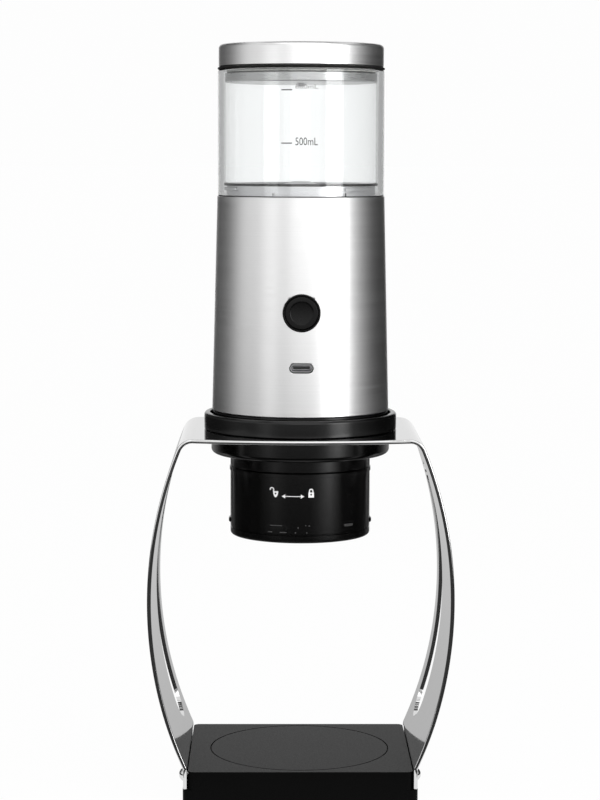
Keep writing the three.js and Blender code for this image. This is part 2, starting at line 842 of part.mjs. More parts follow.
function portShell() {
  const length = portLength();
  const corner = (portThickness - portWall) / 2;
  const outer = slab(roundedRectangle(portWidth, portThickness, corner, 3), 0, length);
  const mouthWidth = portWidth - 2 * portWall;
  const mouthThickness = portThickness - 2 * portWall;
  const mouth = roundedRectangle(mouthWidth, mouthThickness, corner - portWall, 3);
  const inner = slab(mouth, portWall * 2, length + cutOverrun);
  return facingFront(cut(outer, inner), 0).translate(0, -(boardFront + seatGap), 0);
}

function portLength() {
  return shellRadius(portHeight) - shellWall - boardFront - 2 * seatGap;
}

function portTongue() {
  const back = portWall * 2 + seatGap;
  const bar = block(tongueWidth, tongueThickness, back, portLength() - tongueInset);
  return facingFront(bar, 0).translate(0, -(boardFront + seatGap), 0);
}

// Motor, gears and pump

const motorBottom = chassisTop + seatGap;

function motorCan() {
  const bore = drill(motorShaftDiameter, seatGap, -cutOverrun, motorShaftEngagement + seatGap);
  return cut(can(motorRadius, motorLength, 2 * smallSides), bore);
}

// The outline of a spur gear with straight-sided teeth; phase turns it, in tooth pitches.
function gearOutline(teeth, phase) {
  const pitchRadius = (gearModule * teeth) / 2;
  const tip = pitchRadius + gearModule * toothHeightShare;
  const root = pitchRadius - gearModule * toothDepthShare;
  const pitchAngle = 360 / teeth;
  const toothWidth = (Math.PI * gearModule - gearBacklash) / 2;
  const half = THREE.MathUtils.radToDeg(toothWidth / 2 / pitchRadius);
  const rootHalf = half * toothRootShare;
  const tipHalf = half * toothTipShare;
  return Array.from({ length: teeth }, (_, index) => (index + phase) * pitchAngle).flatMap((middle) => [
    polar(root, middle - rootHalf),
    polar(tip, middle - tipHalf),
    polar(tip, middle + tipHalf),
    polar(root, middle + rootHalf),
  ]);
}

const gearTop = chassisBottom - slideGap;
const gearBottom = gearTop - gearThickness;
const pumpTop = gearBottom - slideGap;
const pumpBottom = neckTop - neckFloorDepth + seatGap;

// A tooth of the pinion points along +Y, into a gap between two teeth of the pump gear.
function motorRotor() {
  const pinion = slab(gearOutline(pinionTeeth, pinionTeeth / 4), gearBottom, gearTop);
  const shaft = disc(
    motorShaftDiameter / 2,
    gearTop - gearThickness / 2,
    motorBottom + motorShaftEngagement,
    tinySides,
  );
  return joined(pinion, shaft);
}

function pumpGear() {
  const gear = slab(gearOutline(pumpGearTeeth, (3 * pumpGearTeeth) / 4 + 1 / 2), gearBottom, gearTop);
  const axle = disc(
    pumpShaftDiameter / 2,
    pumpTop - pumpShaftEngagement,
    chassisBottom + chassisFloor / 2 - seatGap,
    tinySides,
  );
  return joined(gear, axle);
}

function pump() {
  const body = disc(pumpRadius, pumpBottom, pumpTop, smallSides * 2);
  const nozzleEnd = pumpBottom - (2 * neckFloor) / 3;
  const nozzle = disc(neckBore / 2 - seatGap, nozzleEnd, pumpBottom + cutOverrun, tinySides);
  const shaftBore = disc(
    pumpShaftDiameter / 2 + seatGap,
    pumpTop - pumpShaftEngagement - seatGap,
    pumpTop + cutOverrun,
    tinySides,
  ).translate(0, pumpGearOffset, 0);
  return cut(joined(body, nozzle), shaftBore);
}

// The tube runs straight down from the heater to the pump, in the channel between two cells and the motor.
function inletTube() {
  const radius = tubeDiameter / 2;
  return ring(radius - tubeWall, radius, pumpTop + seatGap, heaterBottom - seatGap, tinySides);
}

// Tank deck and heater

const tankBore = tankDiameter / 2 - tankWall;
const deckRadius = tankBore - lugReach - seatGap;
const sealBottom = shellTop + deckStepHeight + seatGap;

function heaterBlock() {
  const radius = heaterDiameter / 2;
  const middle = (heaterBottom + heaterTop) / 2;
  const half = heaterGroove / 2;
  return turned([
    [deckBore / 2, heaterBottom],
    [radius, heaterBottom],
    [radius, middle - half],
    [radius - heaterGroove, middle],
    [radius, middle + half],
    [radius, heaterTop],
    [deckBore / 2, heaterTop],
    [deckBore / 2, heaterBottom],
  ]);
}

// The deck closes the shell's top, is the tank's floor, and carries the lugs that the tank locks on.
function tankDeck() {
  const flange = shellBore - seatGap;
  const sealTop = sealBottom + sealHeight;
  const step = shellTop + deckStepHeight;
  const body = turned([
    [deckBore / 2, deckBottom],
    [flange, deckBottom],
    [flange, shellTop],
    [deckRadius, shellTop],
    [deckRadius, step],
    [deckRadius - sealWidth, step],
    [deckRadius - sealWidth, sealTop],
    [deckRadius - deckDishRim, sealTop],
    [deckRadius - deckDishRim - deckDish, sealTop - deckDish],
    [deckBore / 2, sealTop - deckDish],
    [deckBore / 2, deckBottom],
  ]);
  const lugTop = step - seatGap;
  const lugs = evenAngles(lugCount, firstDeckLugAngle).map((angle) =>
    sector(deckRadius - lugReach, deckRadius + lugReach, angle, lugAngle, lugTop - lugHeight, lugTop),
  );
  return joined(body, ...lugs);
}

function tankSeal() {
  const inner = deckRadius - sealWidth + seatGap / 2;
  return ring(inner, tankBore - seatGap / 2, sealBottom, sealBottom + sealHeight);
}

function inletScreen() {
  const radius = inletScreenDiameter / 2;
  const bottom = sealBottom + sealHeight - deckDish + seatGap;
  const rim = bottom + inletScreenHeight / 3;
  const top = bottom + inletScreenHeight;
  return turned([[0, bottom], [radius, bottom], [radius, rim], [radius / 2, top], [0, top]], smallSides);
}

// Button

function buttonBezel() {
  const lip = bezelDiameter / 2;
  const front = buttonRadiusOut;
  const shoulder = bezelBack;
  const back = shoulder - bezelFlange - buttonFlange - seatGap;
  const seat = shoulder - bezelFlange / 3;
  return turned(
    [
      [lip - bezelWall, front],
      [lip - bezelWall, seat],
      [lip + seatGap, seat],
      [lip + seatGap, back],
      [lip + bezelFlange, back],
      [lip + bezelFlange, shoulder],
      [lip, shoulder],
      [lip, front],
      [lip - bezelWall, front],
    ],
    smallSides * 2,
  );
}

function buttonCap() {
  const radius = bezelDiameter / 2 - bezelWall - seatGap;
  const dish = buttonDishDiameter / 2;
  const front = buttonRadiusOut - seatGap / 3;
  const seat = bezelBack - bezelFlange / 3 - seatGap;
  const flange = bezelDiameter / 2;
  return turned(
    [
      [0, seat - buttonFlange],
      [flange, seat - buttonFlange],
      [flange, seat],
      [radius, seat],
      [radius, front - seatGap],
      [radius - seatGap, front],
      [dish, front],
      [dish - buttonDishDepth, front - buttonDishDepth],
      [0, front - buttonDishDepth],
    ],
    smallSides * 2,
  );
}

// Tank

function tank() {
  const outer = tankDiameter / 2;
  const tube = turned([
    [tankBore, 0],
    [outer, 0],
    [outer, tankHeight - tankRimRound],
    [outer - tankRimRound, tankHeight],
    [tankBore, tankHeight],
    [tankBore, 0],
  ]);
  const lugs = evenAngles(lugCount, firstTankLugAngle).map((angle) =>
    sector(tankBore - lugReach, tankBore + tankWall / 2, angle, tankLugAngle, 0, lugHeight),
  );
  return joined(tube, ...lugs);
}

// Lid, heights above the tank's bottom edge

const lidSkirtRadius = tankBore - lidPlugGap;
const lidCoreRadius = lidSkirtRadius - lidCoreStep;
const lidSealBottom = tankHeight + seatGap;
const lidCapBottom = lidSealBottom + lidSealHeight + seatGap;
const lidCapTop = lidCapBottom + lidHeight;
const skirtTop = tankHeight - lidSkirtDrop;
const skirtBottom = skirtTop - lidSkirtHeight;
const coreBottom = skirtTop + seatGap;

function lidCap() {
  const outer = tankDiameter / 2 - lidStep;
  const inner = outer - lidWall;
  return turned([
    [0, lidCapTop - lidWall],
    [inner, lidCapTop - lidWall],
    [inner, lidCapBottom],
    [outer, lidCapBottom],
    ...arc(outer - lidEdgeRound, lidCapTop - lidEdgeRound, lidEdgeRound, 0, 90, 4),
    [0, lidCapTop],
  ]);
}

function lidSeal() {
  return ring(lidCoreRadius + seatGap, tankDiameter / 2, lidSealBottom, lidSealBottom + lidSealHeight);
}

function lidCore() {
  const core = disc(lidCoreRadius, coreBottom, lidCapTop - lidWall - seatGap);
  const pilot = disc(
    lidScrewDiameter / 2 + seatGap,
    coreBottom - cutOverrun,
    skirtBottom + lidSkirtWall + lidScrewLength + seatGap,
    tinySides,
  );
  return cut(core, pilot);
}

function lidSkirt() {
  const outer = lidSkirtRadius;
  const hole = lidScrewDiameter / 2 + seatGap;
  return turned([
    [hole, skirtBottom],
    [outer - lidSkirtWall, skirtBottom],
    [outer, skirtBottom + lidSkirtWall],
    [outer, skirtTop],
    [outer - lidSkirtWall, skirtTop],
    [outer - lidSkirtWall, skirtBottom + lidSkirtWall],
    [hole, skirtBottom + lidSkirtWall],
    [hole, skirtBottom],
  ]);
}

function lidScrew() {
  const headHeight = lidScrewHead / 4;
  const screw = domeScrew(lidScrewHead, headHeight, lidScrewDiameter, lidScrewLength, tinySides);
  return screw.rotateX(Math.PI);
}

// Holder, heights above the machine's resting face

const holderOuter = neckDiameter / 2;
const holderInner = holderOuter - holderWall;
const collarTop = brewBottom - seatGap - gasketHeight - seatGap - basketRimThickness - seatGap;
const basketRadius = collarInner - 3 * basketWall;
const lugBottom = neckBottom + lugHeight + seatGap;
const collarRim = lugBottom + lugHeight;
const basketBottom = collarTop + seatGap - basketDepth;
const spoutTop = basketBottom - seatGap;

function holderSleeve() {
  const grooveBottom = holderBottom + holderGrooveHeight;
  const body = turned([
    [basketRadius + seatGap, holderTop - holderShoulder],
    [holderInner, holderTop - holderShoulder],
    [holderInner, holderBottom],
    ...arc(holderOuter - holderEdgeRound, holderBottom + holderEdgeRound, holderEdgeRound, -90, 0, 3),
    [holderOuter, grooveBottom],
    [holderOuter - holderGrooveDepth, grooveBottom],
    [holderOuter - holderGrooveDepth, grooveBottom + holderGrooveWidth],
    [holderOuter, grooveBottom + holderGrooveWidth],
    [holderOuter, holderTop - holderLipHeight],
    [holderOuter + holderLip, holderTop - holderLipHeight],
    [holderOuter + holderLip, holderTop],
    [collarRadius, holderTop],
    [collarRadius, collarRim],
    [collarInner, collarRim],
    [collarInner, collarTop],
    [basketRadius + seatGap, collarTop],
    [basketRadius + seatGap, holderTop - holderShoulder],
  ]);
  const lugs = evenAngles(lugCount, 0).map((angle) =>
    sector(collarInner + seatGap, neckInner - seatGap, angle, lugAngle, lugBottom, collarRim),
  );
  const grips = [0, 180].map((angle) =>
    sector(
      holderOuter - holderWall / 2,
      holderOuter + gripProud,
      angle,
      THREE.MathUtils.radToDeg(gripWide / holderOuter),
      holderBottom + gripHeight - gripTall / 2,
      holderBottom + gripHeight + gripTall / 2,
      3,
    ),
  );
  return joined(body, ...lugs, ...grips);
}

function filterBasket() {
  const rimBottom = collarTop + seatGap;
  return turned([
    [0, basketBottom],
    [basketRadius, basketBottom],
    [basketRadius, rimBottom],
    [collarInner - seatGap, rimBottom],
    [collarInner - seatGap, rimBottom + basketRimThickness],
    [basketRadius - basketWall, rimBottom + basketRimThickness],
    [basketRadius - basketWall, basketBottom + basketWall],
    [0, basketBottom + basketWall],
  ]);
}

function spout() {
  const outer = holderInner - seatGap;
  const bore = spoutBore / 2;
  const nozzle = spoutNozzleDiameter / 2;
  const floor = spoutTop - spoutFloor;
  const tip = Math.max(floor - spoutNozzleLength, holderBottom + seatGap);
  return turned([
    [bore, tip],
    [nozzle, tip],
    [nozzle, floor],
    [outer, floor],
    [outer, spoutTop],
    [outer - spoutFloor, spoutTop],
    [bore, floor + spoutFloor / 2],
    [bore, tip],
  ]);
}

// Assembly

function standGroup() {
  const group = new THREE.Group();
  group.add(
    piece("base_block", "matteBlack", baseBlock()),
    piece("base_bottom_plate", "matteBlack", bottomPlate()),
    piece("base_ballast", "darkSteel", ballast()),
    piece("cup_pad", "matteBlack", cupPad()),
    piece("stand_strap", "polishedSteel", strap()),
    piece("socket_ring", "blackPlastic", socketRing()),
    piece("clamp_ring", "blackPlastic", clampRing()),
  );
  footPlaces.forEach(([x, y], index) => {
    const mesh = piece(`base_foot_${index + 1}`, "rubber", foot());
    mesh.position.set(x, y, 0);
    group.add(mesh);
  });
  strapScrewPlaces().forEach(([side, y], index) => {
    const mesh = piece(`strap_screw_${index + 1}`, "darkSteel", strapScrew(side));
    mesh.position.set(side * (strapFeetWidth / 2 + seatGap / 3), y, screwHeight);
    group.add(mesh);
  });
  return group;
}

function machineGroup() {
  const group = new THREE.Group();
  group.add(
    piece("body_shell", "brushedSteel", bodyShell(), shellBottom),
    piece("base_cap", "blackPlastic", baseCap()),
    piece("group_head", "blackPlastic", groupHead()),
    piece("group_gasket", "silicone", groupGasket()),
    piece("shower_screen", "darkSteel", showerScreen()),
    piece("inner_chassis", "greyPlastic", chassis()),
    piece("cell_retainer", "greyPlastic", cellRetainer()),
    piece("control_board", "boardGreen", controlBoard()),
    piece("tact_switch", "greyPlastic", tactSwitch(), shellBottom + buttonHeight),
    piece("usb_c_port", "darkSteel", portShell(), shellBottom + portHeight),
    piece("usb_c_tongue", "blackPlastic", portTongue(), shellBottom + portHeight),
    piece("pump_motor", "darkSteel", motorCan(), motorBottom),
    piece("motor_pinion", "brass", motorRotor()),
    piece("pump_body", "greyPlastic", pump()),
    piece("heater_block", "aluminium", heaterBlock()),
    piece("tank_deck", "brushedSteel", tankDeck()),
    piece("tank_seal", "rubber", tankSeal()),
    piece("inlet_screen", "darkSteel", inletScreen()),
    piece("button_bezel", "blackPlastic", facingFront(buttonBezel(), shellBottom + buttonHeight)),
    piece("button_cap", "blackPlastic", facingFront(buttonCap(), shellBottom + buttonHeight)),
  );
  const gear = piece("pump_gear", "brass", pumpGear());
  gear.position.y = pumpGearOffset;
  group.add(gear);
  const tube = piece("inlet_tube", "silicone", inletTube());
  tube.position.set(...tubePlace, 0);
  group.add(tube);
  const screw = piece("shower_screw", "darkSteel", showerScrew());
  screw.position.set(showerScrewOffset, 0, brewBottom - 2 * seatGap - showerScreenThickness);
  group.add(screw);
  neckScrewPlaces.forEach((place, index) => {
    const mesh = piece(`neck_screw_${index + 1}`, "darkSteel", neckScrew());
    mesh.position.set(...place, baseCapFloor + seatGap);
    group.add(mesh);
  });
  cellPlaces.forEach((place, index) => {
    const shape = can(cellDiameter / 2, cellLength, smallSides);
    const mesh = piece(`battery_cell_${index + 1}`, "cellWrap", shape);
    mesh.position.set(...place, cellBottom);
    group.add(mesh);
  });
  group.add(tankGroup(), holderGroup());
  group.position.z = machineHeight;
  return group;
}

function tankGroup() {
  const group = new THREE.Group();
  group.add(
    piece("water_tank", "clearPlastic", tank()),
    piece("lid_cap", "brushedSteel", lidCap()),
    piece("lid_seal", "rubber", lidSeal()),
    piece("lid_core", "blackPlastic", lidCore()),
    piece("lid_skirt", "brushedSteel", lidSkirt()),
    piece("lid_screw", "darkSteel", lidScrew(), skirtBottom - seatGap),
  );
  group.position.z = tankBottom;
  return group;
}

function holderGroup() {
  const group = new THREE.Group();
  group.add(
    piece("holder_sleeve", "blackPlastic", holderSleeve()),
    piece("filter_basket", "brushedSteel", filterBasket()),
    piece("holder_spout", "blackPlastic", spout()),
  );
  return group;
}

const espressoMaker = new THREE.Group();
espressoMaker.add(standGroup(), machineGroup());

export default espressoMaker;
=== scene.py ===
"""Looks of a portable espresso maker standing in its own stand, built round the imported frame."""

import json
import math
from itertools import pairwise

import bmesh
import bpy
from bpy.props import FloatProperty, FloatVectorProperty, PointerProperty, StringProperty
from bpy.types import NodeSocket, Operator, Panel, PropertyGroup
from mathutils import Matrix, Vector


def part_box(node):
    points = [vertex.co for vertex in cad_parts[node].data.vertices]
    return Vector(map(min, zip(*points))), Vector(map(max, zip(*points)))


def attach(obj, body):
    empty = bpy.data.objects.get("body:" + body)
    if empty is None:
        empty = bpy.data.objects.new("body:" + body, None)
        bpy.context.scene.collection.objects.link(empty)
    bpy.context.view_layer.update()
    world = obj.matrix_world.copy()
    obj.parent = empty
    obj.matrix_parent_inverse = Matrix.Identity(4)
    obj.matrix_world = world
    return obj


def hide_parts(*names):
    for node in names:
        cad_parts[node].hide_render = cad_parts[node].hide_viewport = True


bl_info = {
    "name": "Espresso maker looks",
    "version": (1, 0, 0),
    "blender": (4, 5, 0),
    "location": "3D View > Sidebar > Espresso maker",
    "description": "Dresses the frame of a portable espresso maker and its stand",
    "category": "Object",
}

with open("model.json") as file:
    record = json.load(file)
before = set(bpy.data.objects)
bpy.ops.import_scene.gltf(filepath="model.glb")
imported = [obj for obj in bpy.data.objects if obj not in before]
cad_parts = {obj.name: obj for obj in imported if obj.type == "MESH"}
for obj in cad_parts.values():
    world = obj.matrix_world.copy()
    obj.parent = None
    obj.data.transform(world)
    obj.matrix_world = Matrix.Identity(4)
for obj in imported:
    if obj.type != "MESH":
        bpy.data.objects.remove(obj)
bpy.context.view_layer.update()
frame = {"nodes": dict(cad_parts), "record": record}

MM = 0.001

# Steps round a turned piece, by its size
ROUND_SIDES = 160
MIDDLE_SIDES = 96
SMALL_SIDES = 64
SCREW_SIDES = 40
HOLE_SIDES = 32

CORNER_STEPS = 6
LUG_STEPS = 12
HAIR = 1e-6  # points closer than this are one point
PAST = MM  # how far a cutter passes what it cuts
FIT = 0.3 * MM  # gap between two pieces that sit on or in each other
PRINT = 0.04 * MM  # thickness of a printed mark
SHARP_FROM = math.radians(40)  # an edge that turns more than this is bevelled
SMOOTH_TO = math.radians(35)  # an edge that turns less than this is shaded smooth

# Directions that a turned piece can face: the way out from its axis, and the way along it
FACINGS = {
    "up": ((1, 0, 0), (0, 0, 1)),
    "front": ((1, 0, 0), (0, -1, 0)),
    "right": ((0, 0, 1), (1, 0, 0)),
    "left": ((0, 0, 1), (-1, 0, 0)),
}
SIDEWAYS = (1, 0, 0)
UPWARDS = (0, 0, 1)

SCREWS = [f"strap_screw_{index}" for index in range(1, 5)]


# Places read from the frame


def bottom_of(node):
    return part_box(node)[0].z


def top_of(node):
    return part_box(node)[1].z


def radius_of(node):
    """A round node is as wide along Y as its circle, with nothing standing out there."""
    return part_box(node)[1].y


def round_node(node):
    """Radius, bottom and top of a round node."""
    return radius_of(node), bottom_of(node), top_of(node)


def screw_place(node):
    """Middle of a screw, and the side of the stand that it is on: 1 right, -1 left."""
    low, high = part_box(node)
    middle = (low + high) / 2
    return middle, math.copysign(1, middle.x)


# Sizes and colours that a user may change


def length(name, description, default):
    return FloatProperty(
        name=name, description=description, default=default, precision=5, unit="LENGTH"
    )


def share(name, description, default):
    return FloatProperty(
        name=name, description=description, default=default, min=0, max=1, subtype="FACTOR"
    )


def angle(name, description, degrees):
    return FloatProperty(
        name=name, description=description, default=math.radians(degrees), subtype="ANGLE"
    )


def colour(name, description, default):
    return FloatVectorProperty(
        name=name, description=description, default=default, size=3, min=0, max=1, subtype="COLOR"
    )


class StandSizes(PropertyGroup):
    """Sizes of the stand: base, strap and rings."""

    edge: length("Edge round", "Round of the base's edges", 0.7 * MM)
    corner: length("Corner round", "Round of the base's upright corners", 2.5 * MM)
    lip: length("Base lip", "Height of the lip that the strap's feet stand on", 5 * MM)
    pad_gap: length("Pad gap", "Gap round the cup pad", 0.35 * MM)
    sheet: length("Strap sheet", "Thickness of the strap's sheet", 1.6 * MM)
    top_bend: length("Top bend", "Outer bend between flat top and arm", 6.7 * MM)
    foot_bend: length("Foot bend", "Bend between arm and foot", 2 * MM)
    foot_lift: length("Foot lift", "From the base's top to where an arm's curve starts", 0.9 * MM)
    feet: length("Feet width", "Across the outsides of the strap's feet", 94.8 * MM)
    bulge: length("Top bulge", "How far the flat top's edges bow out", 5.5 * MM)
    widest: share("Widest height", "Height of an arm's widest point, of the top's height", 0.507)
    slot_width: length("Slot width", "Width of the slot in each arm", 21 * MM)
    slot_length: length("Slot length", "Length of the slot in each arm", 110 * MM)
    slot_back: length("Slot offset", "From the strap's middle back to the slot's middle", 18 * MM)
    slot_lift: length("Slot lift", "From the base's top to the slot's end", 9 * MM)
    sheet_edge: length("Sheet edge", "Round of the strap's edges", 0.45 * MM)
    socket_wall: length("Socket wall", "Wall of the socket ring", 2.4 * MM)
    socket_round: length("Socket round", "Round of the socket ring's outer edge", 1.2 * MM)
    socket_ledge: length("Socket ledge", "Ledge that the machine rests on", 1.5 * MM)
    bore: length("Ring bore", "Radius of the socket ring's bore", 31 * MM)
    spigot: length("Spigot wall", "Wall of the part that drops through the strap", 2.6 * MM)
    clamp_round: length("Clamp round", "Round of the clamp ring's lower edge", 2 * MM)


class MachineSizes(PropertyGroup):
    """Sizes of the machine's shell, cap, neck, button and port."""

    shell_wall: length("Shell wall", "Thickness of the steel shell", 1 * MM)
    shell_round: length("Shell round", "Round of the shell's lower edge", 0.4 * MM)
    shell_top: length("Shell top radius", "Radius of the shell's upper edge", 34.25 * MM)
    cap_step: length("Cap step", "From the shell's side in to the cap's rim", 2 * MM)
    cap_wall: length("Cap wall", "Wall of the base cap's bowl", 2 * MM)
    cap_bore: length("Cap bore", "Radius of the base cap's bore", 22 * MM)
    cap_side: length("Cap side", "Height of the base cap's side", 6 * MM)
    cap_floor: length("Cap floor", "Thickness of the base cap's floor", 2.5 * MM)
    neck_wall: length("Neck wall", "Wall of the neck", 2.2 * MM)
    neck_floor: length("Neck floor", "Thickness of the neck's floor", 2.5 * MM)
    neck_depth: length("Neck depth", "From the neck's top to its floor", 8.7 * MM)
    bezel_wall: length("Bezel wall", "Width of the ring round the button", 0.6 * MM)
    bezel: length("Bezel radius", "Radius of the ring round the button", 7.5 * MM)
    button: length("Button radius", "Radius of the button", 6.6 * MM)
    dish: length("Dish radius", "Radius of the dish in the button", 4.65 * MM)
    dish_depth: length("Dish depth", "Depth of the dish in the button", 0.4 * MM)
    hole_gap: length("Hole gap", "Gap between the shell and the bezel", 0.12 * MM)
    port_gap: length("Port gap", "From the port's shell to its opening", 0.4 * MM)
    port_wall: length("Port wall", "Wall of the port's shell", 0.3 * MM)


class TankSizes(PropertyGroup):
    """Sizes of the tank, its lugs, its lid and its fill marks."""

    wall: length("Tank wall", "Thickness of the clear wall", 2.4 * MM)
    rim: length("Tank rim", "Round of the tank's rim", 0.6 * MM)
    lug_height: length("Lug height", "Height of a bayonet lug", 1.3 * MM)
    lug_reach: length("Lug reach", "How far a lug stands out", 0.9 * MM)
    lug_angle: angle("Lug angle", "Turn that one lug spans", 32)
    tank_lug_angle: angle("Tank lug angle", "Turn that one of the tank's lugs spans", 66)
    tank_lug_place: angle("Tank lug place", "Where the tank's first lug is", -24)
    deck_lug_place: angle("Deck lug place", "Where the deck's first lug is", -41)
    lid_wall: length("Lid wall", "Thickness of the lid's steel", 1.2 * MM)
    lid_round: length("Lid round", "Round of the lid's upper edge", 1.7 * MM)
    seal_round: length("Seal round", "Round of the lid seal's edge", 0.35 * MM)
    skirt_wall: length("Skirt wall", "Thickness of the plug's skirt", 0.8 * MM)
    mark_text: StringProperty(
        name="Fill mark", description="What the fill mark says", default="500mL"
    )
    upper_text: StringProperty(
        name="Upper mark", description="What the upper fill mark says", default="600mL"
    )
    mark_height: length("Mark height", "Height of the fill mark's digits", 3.05 * MM)
    mark_width: length("Mark width", "Width of a fill mark's text", 8.9 * MM)
    mark_left: length("Mark place", "From the middle to the text's left end", -2.7 * MM)
    dash_width: length("Dash width", "Length of a fill mark's line", 4.2 * MM)
    dash_tall: length("Dash height", "Thickness of a fill mark's line", 0.45 * MM)
    mark_level: length("Mark level", "Height of the fill mark", 267.1 * MM)
    upper_height: length("Upper height", "Height of the upper mark's digits", 1.7 * MM)
    upper_level: length("Upper level", "Height of the upper fill mark", 288.6 * MM)


class HolderSizes(PropertyGroup):
    """Sizes of the twist-on holder, its marks and its small grips."""

    wall: length("Holder wall", "Wall of the holder", 2.1 * MM)
    lip: length("Lip", "How far the top lip stands out", 0.3 * MM)
    lip_height: length("Lip height", "Height of the top lip", 1.6 * MM)
    edge: length("Lower round", "Round of the holder's lower edge", 1.2 * MM)
    groove_lift: length("Groove lift", "From the lower edge up to the groove", 3.1 * MM)
    groove_width: length("Groove width", "Width of the groove", 0.5 * MM)
    groove_depth: length("Groove depth", "Depth of the groove", 0.4 * MM)
    shoulder: length("Shoulder", "From the top to the shoulder inside", 2.5 * MM)
    grip_lift: length("Grip lift", "From the lower edge up to a grip's middle", 5.8 * MM)
    grip_proud: length("Grip reach", "How far a grip stands out", 0.7 * MM)
    mark_level: length("Mark level", "Height of the lock marks", 126.2 * MM)
    padlock_height: length("Padlock height", "Height of a padlock mark", 3.85 * MM)
    open_place: length("Open mark place", "From the middle to the open padlock", -10.2 * MM)
    shut_place: length("Closed mark place", "From the middle to the closed padlock", 4.15 * MM)
    arrow_left: length("Arrow left", "From the middle to the arrow's left tip", -7.75 * MM)
    arrow_right: length("Arrow right", "From the middle to the arrow's right tip", 1.4 * MM)
    arrow_drop: length("Arrow drop", "From the padlocks' middle down to the arrow", 1.5 * MM)


class FinishColours(PropertyGroup):
    """Colours of the finishes."""

    steel: colour("Brushed steel", "Shell and lid", (0.78, 0.78, 0.78))
    polished: colour("Polished steel", "Strap, screws and basket", (0.72, 0.72, 0.72))
    black: colour("Black plastic", "Rings, neck and holder", (0.001, 0.001, 0.001))
    matte: colour("Matte black", "Base", (0.002, 0.002, 0.002))
    clear: colour("Clear plastic", "Tank", (0.97, 0.98, 0.98))
    mark: colour("White print", "Lock marks", (0.9, 0.9, 0.9))
    fill_mark: colour("Grey print", "Fill marks", (0.09, 0.09, 0.09))


class StageSettings(PropertyGroup):
    """Camera and ambient light."""

    distance: length("Camera distance", "From the machine's axis to the camera", 0.9621)
    height: length("Camera height", "Height of the camera above the surface", 0.2632)
    pitch: angle("Camera pitch", "How far the camera looks down", 6.074)
    azimuth: angle("Camera azimuth", "How far the camera stands to the right", -0.7)
    roll: angle("Camera roll", "How far the camera tips over to the right", -0.17)
    lens: FloatProperty(
        name="Lens", description="Focal length", default=105.17, unit="CAMERA", subtype="NONE"
    )
    shift: FloatProperty(
        name="Camera shift", description="Shift of the picture to the side", default=-0.0013
    )
    ambient: FloatProperty(name="Ambient light", description="World strength", default=0.55)


GROUPS = {
    "maker_stand": StandSizes,
    "maker_machine": MachineSizes,
    "maker_tank": TankSizes,
    "maker_holder": HolderSizes,
    "maker_colours": FinishColours,
    "maker_stage": StageSettings,
}


# Outlines


def arc(centre_x, centre_y, radius, start, end, steps=CORNER_STEPS):
    """Points of an arc, from one angle in degrees to another."""
    turns = [math.radians(start + (end - start) * step / steps) for step in range(steps + 1)]
    return [(centre_x + radius * math.cos(t), centre_y + radius * math.sin(t)) for t in turns]


def straight(start, end, steps):
    """Points along a straight line, ends included."""
    a, b = Vector(start), Vector(end)
    return [tuple(a.lerp(b, step / steps)) for step in range(steps + 1)]


def ring_outline(inner, outer, bottom, top, edge):
    """A ring's section, with its four edges rounded."""
    return [
        *arc(inner + edge, bottom + edge, edge, 180, 270, 3),
        *arc(outer - edge, bottom + edge, edge, 270, 360, 3),
        *arc(outer - edge, top - edge, edge, 0, 90, 3),
        *arc(inner + edge, top - edge, edge, 90, 180, 3),
        (inner, bottom + edge),
    ]


def lug_section(inner, outer, bottom, top):
    """A lug's section: four corners, anticlockwise from the lower inner one."""
    return [(inner, bottom), (outer, bottom), (outer, top), (inner, top)]


# Modelling steps


def start_fresh():
    """Back to object mode with nothing selected."""
    if bpy.context.object and bpy.context.object.mode != "OBJECT":
        bpy.ops.object.mode_set(mode="OBJECT")
    bpy.ops.object.select_all(action="DESELECT")


def make_active(piece):
    """Selects one piece alone and makes it the active one."""
    start_fresh()
    piece.select_set(True)
    bpy.context.view_layer.objects.active = piece


def settle():
    """Moves the place, turn and scale of the selected piece into its mesh."""
    bpy.ops.object.transform_apply(location=True, rotation=True, scale=True)


def edit_new():
    """Puts the place of a new primitive in its mesh and opens it in edit mode."""
    settle()
    bpy.ops.object.mode_set(mode="EDIT")
    bpy.ops.mesh.select_mode(type="VERT")
    bpy.ops.mesh.select_all(action="SELECT")


def select_where(test, kind="VERT"):
    """Selects the vertices or faces of the open mesh whose place, and normal, pass a test."""
    bpy.ops.mesh.select_mode(type=kind)
    bpy.ops.mesh.select_all(action="DESELECT")
    mesh = bmesh.from_edit_mesh(bpy.context.object.data)
    parts = mesh.verts if kind == "VERT" else mesh.faces
    for part in parts:
        place = part.co if kind == "VERT" else part.calc_center_median()
        part.select_set(test(place, part.normal))
    bmesh.update_edit_mesh(bpy.context.object.data)


def draw_line(points):
    """A chain of edges, drawn from one vertex by extruding it from point to point."""
    start_fresh()
    bpy.ops.mesh.primitive_circle_add(vertices=3, radius=MM, location=points[0])
    edit_new()
    bpy.ops.mesh.merge(type="CENTER")
    for start, end in pairwise(points):
        step = Vector(end) - Vector(start)
        bpy.ops.mesh.extrude_vertices_move(TRANSFORM_OT_translate={"value": step})
    bpy.ops.mesh.select_all(action="SELECT")


def draw_face(points):
    """A flat face inside a closed outline."""
    draw_line([*points, points[0]])
    bpy.ops.mesh.remove_doubles(threshold=HAIR)
    bpy.ops.mesh.edge_face_add()


def pull(travel):
    """Extrudes all that is selected."""
    bpy.ops.mesh.extrude_region_move(TRANSFORM_OT_translate={"value": travel})


def close_up():
    """Merges doubled points, turns the faces outwards and leaves edit mode."""
    bpy.ops.mesh.select_all(action="SELECT")
    bpy.ops.mesh.remove_doubles(threshold=HAIR)
    bpy.ops.mesh.normals_make_consistent(inside=False)
    bpy.ops.object.mode_set(mode="OBJECT")
    return bpy.context.object


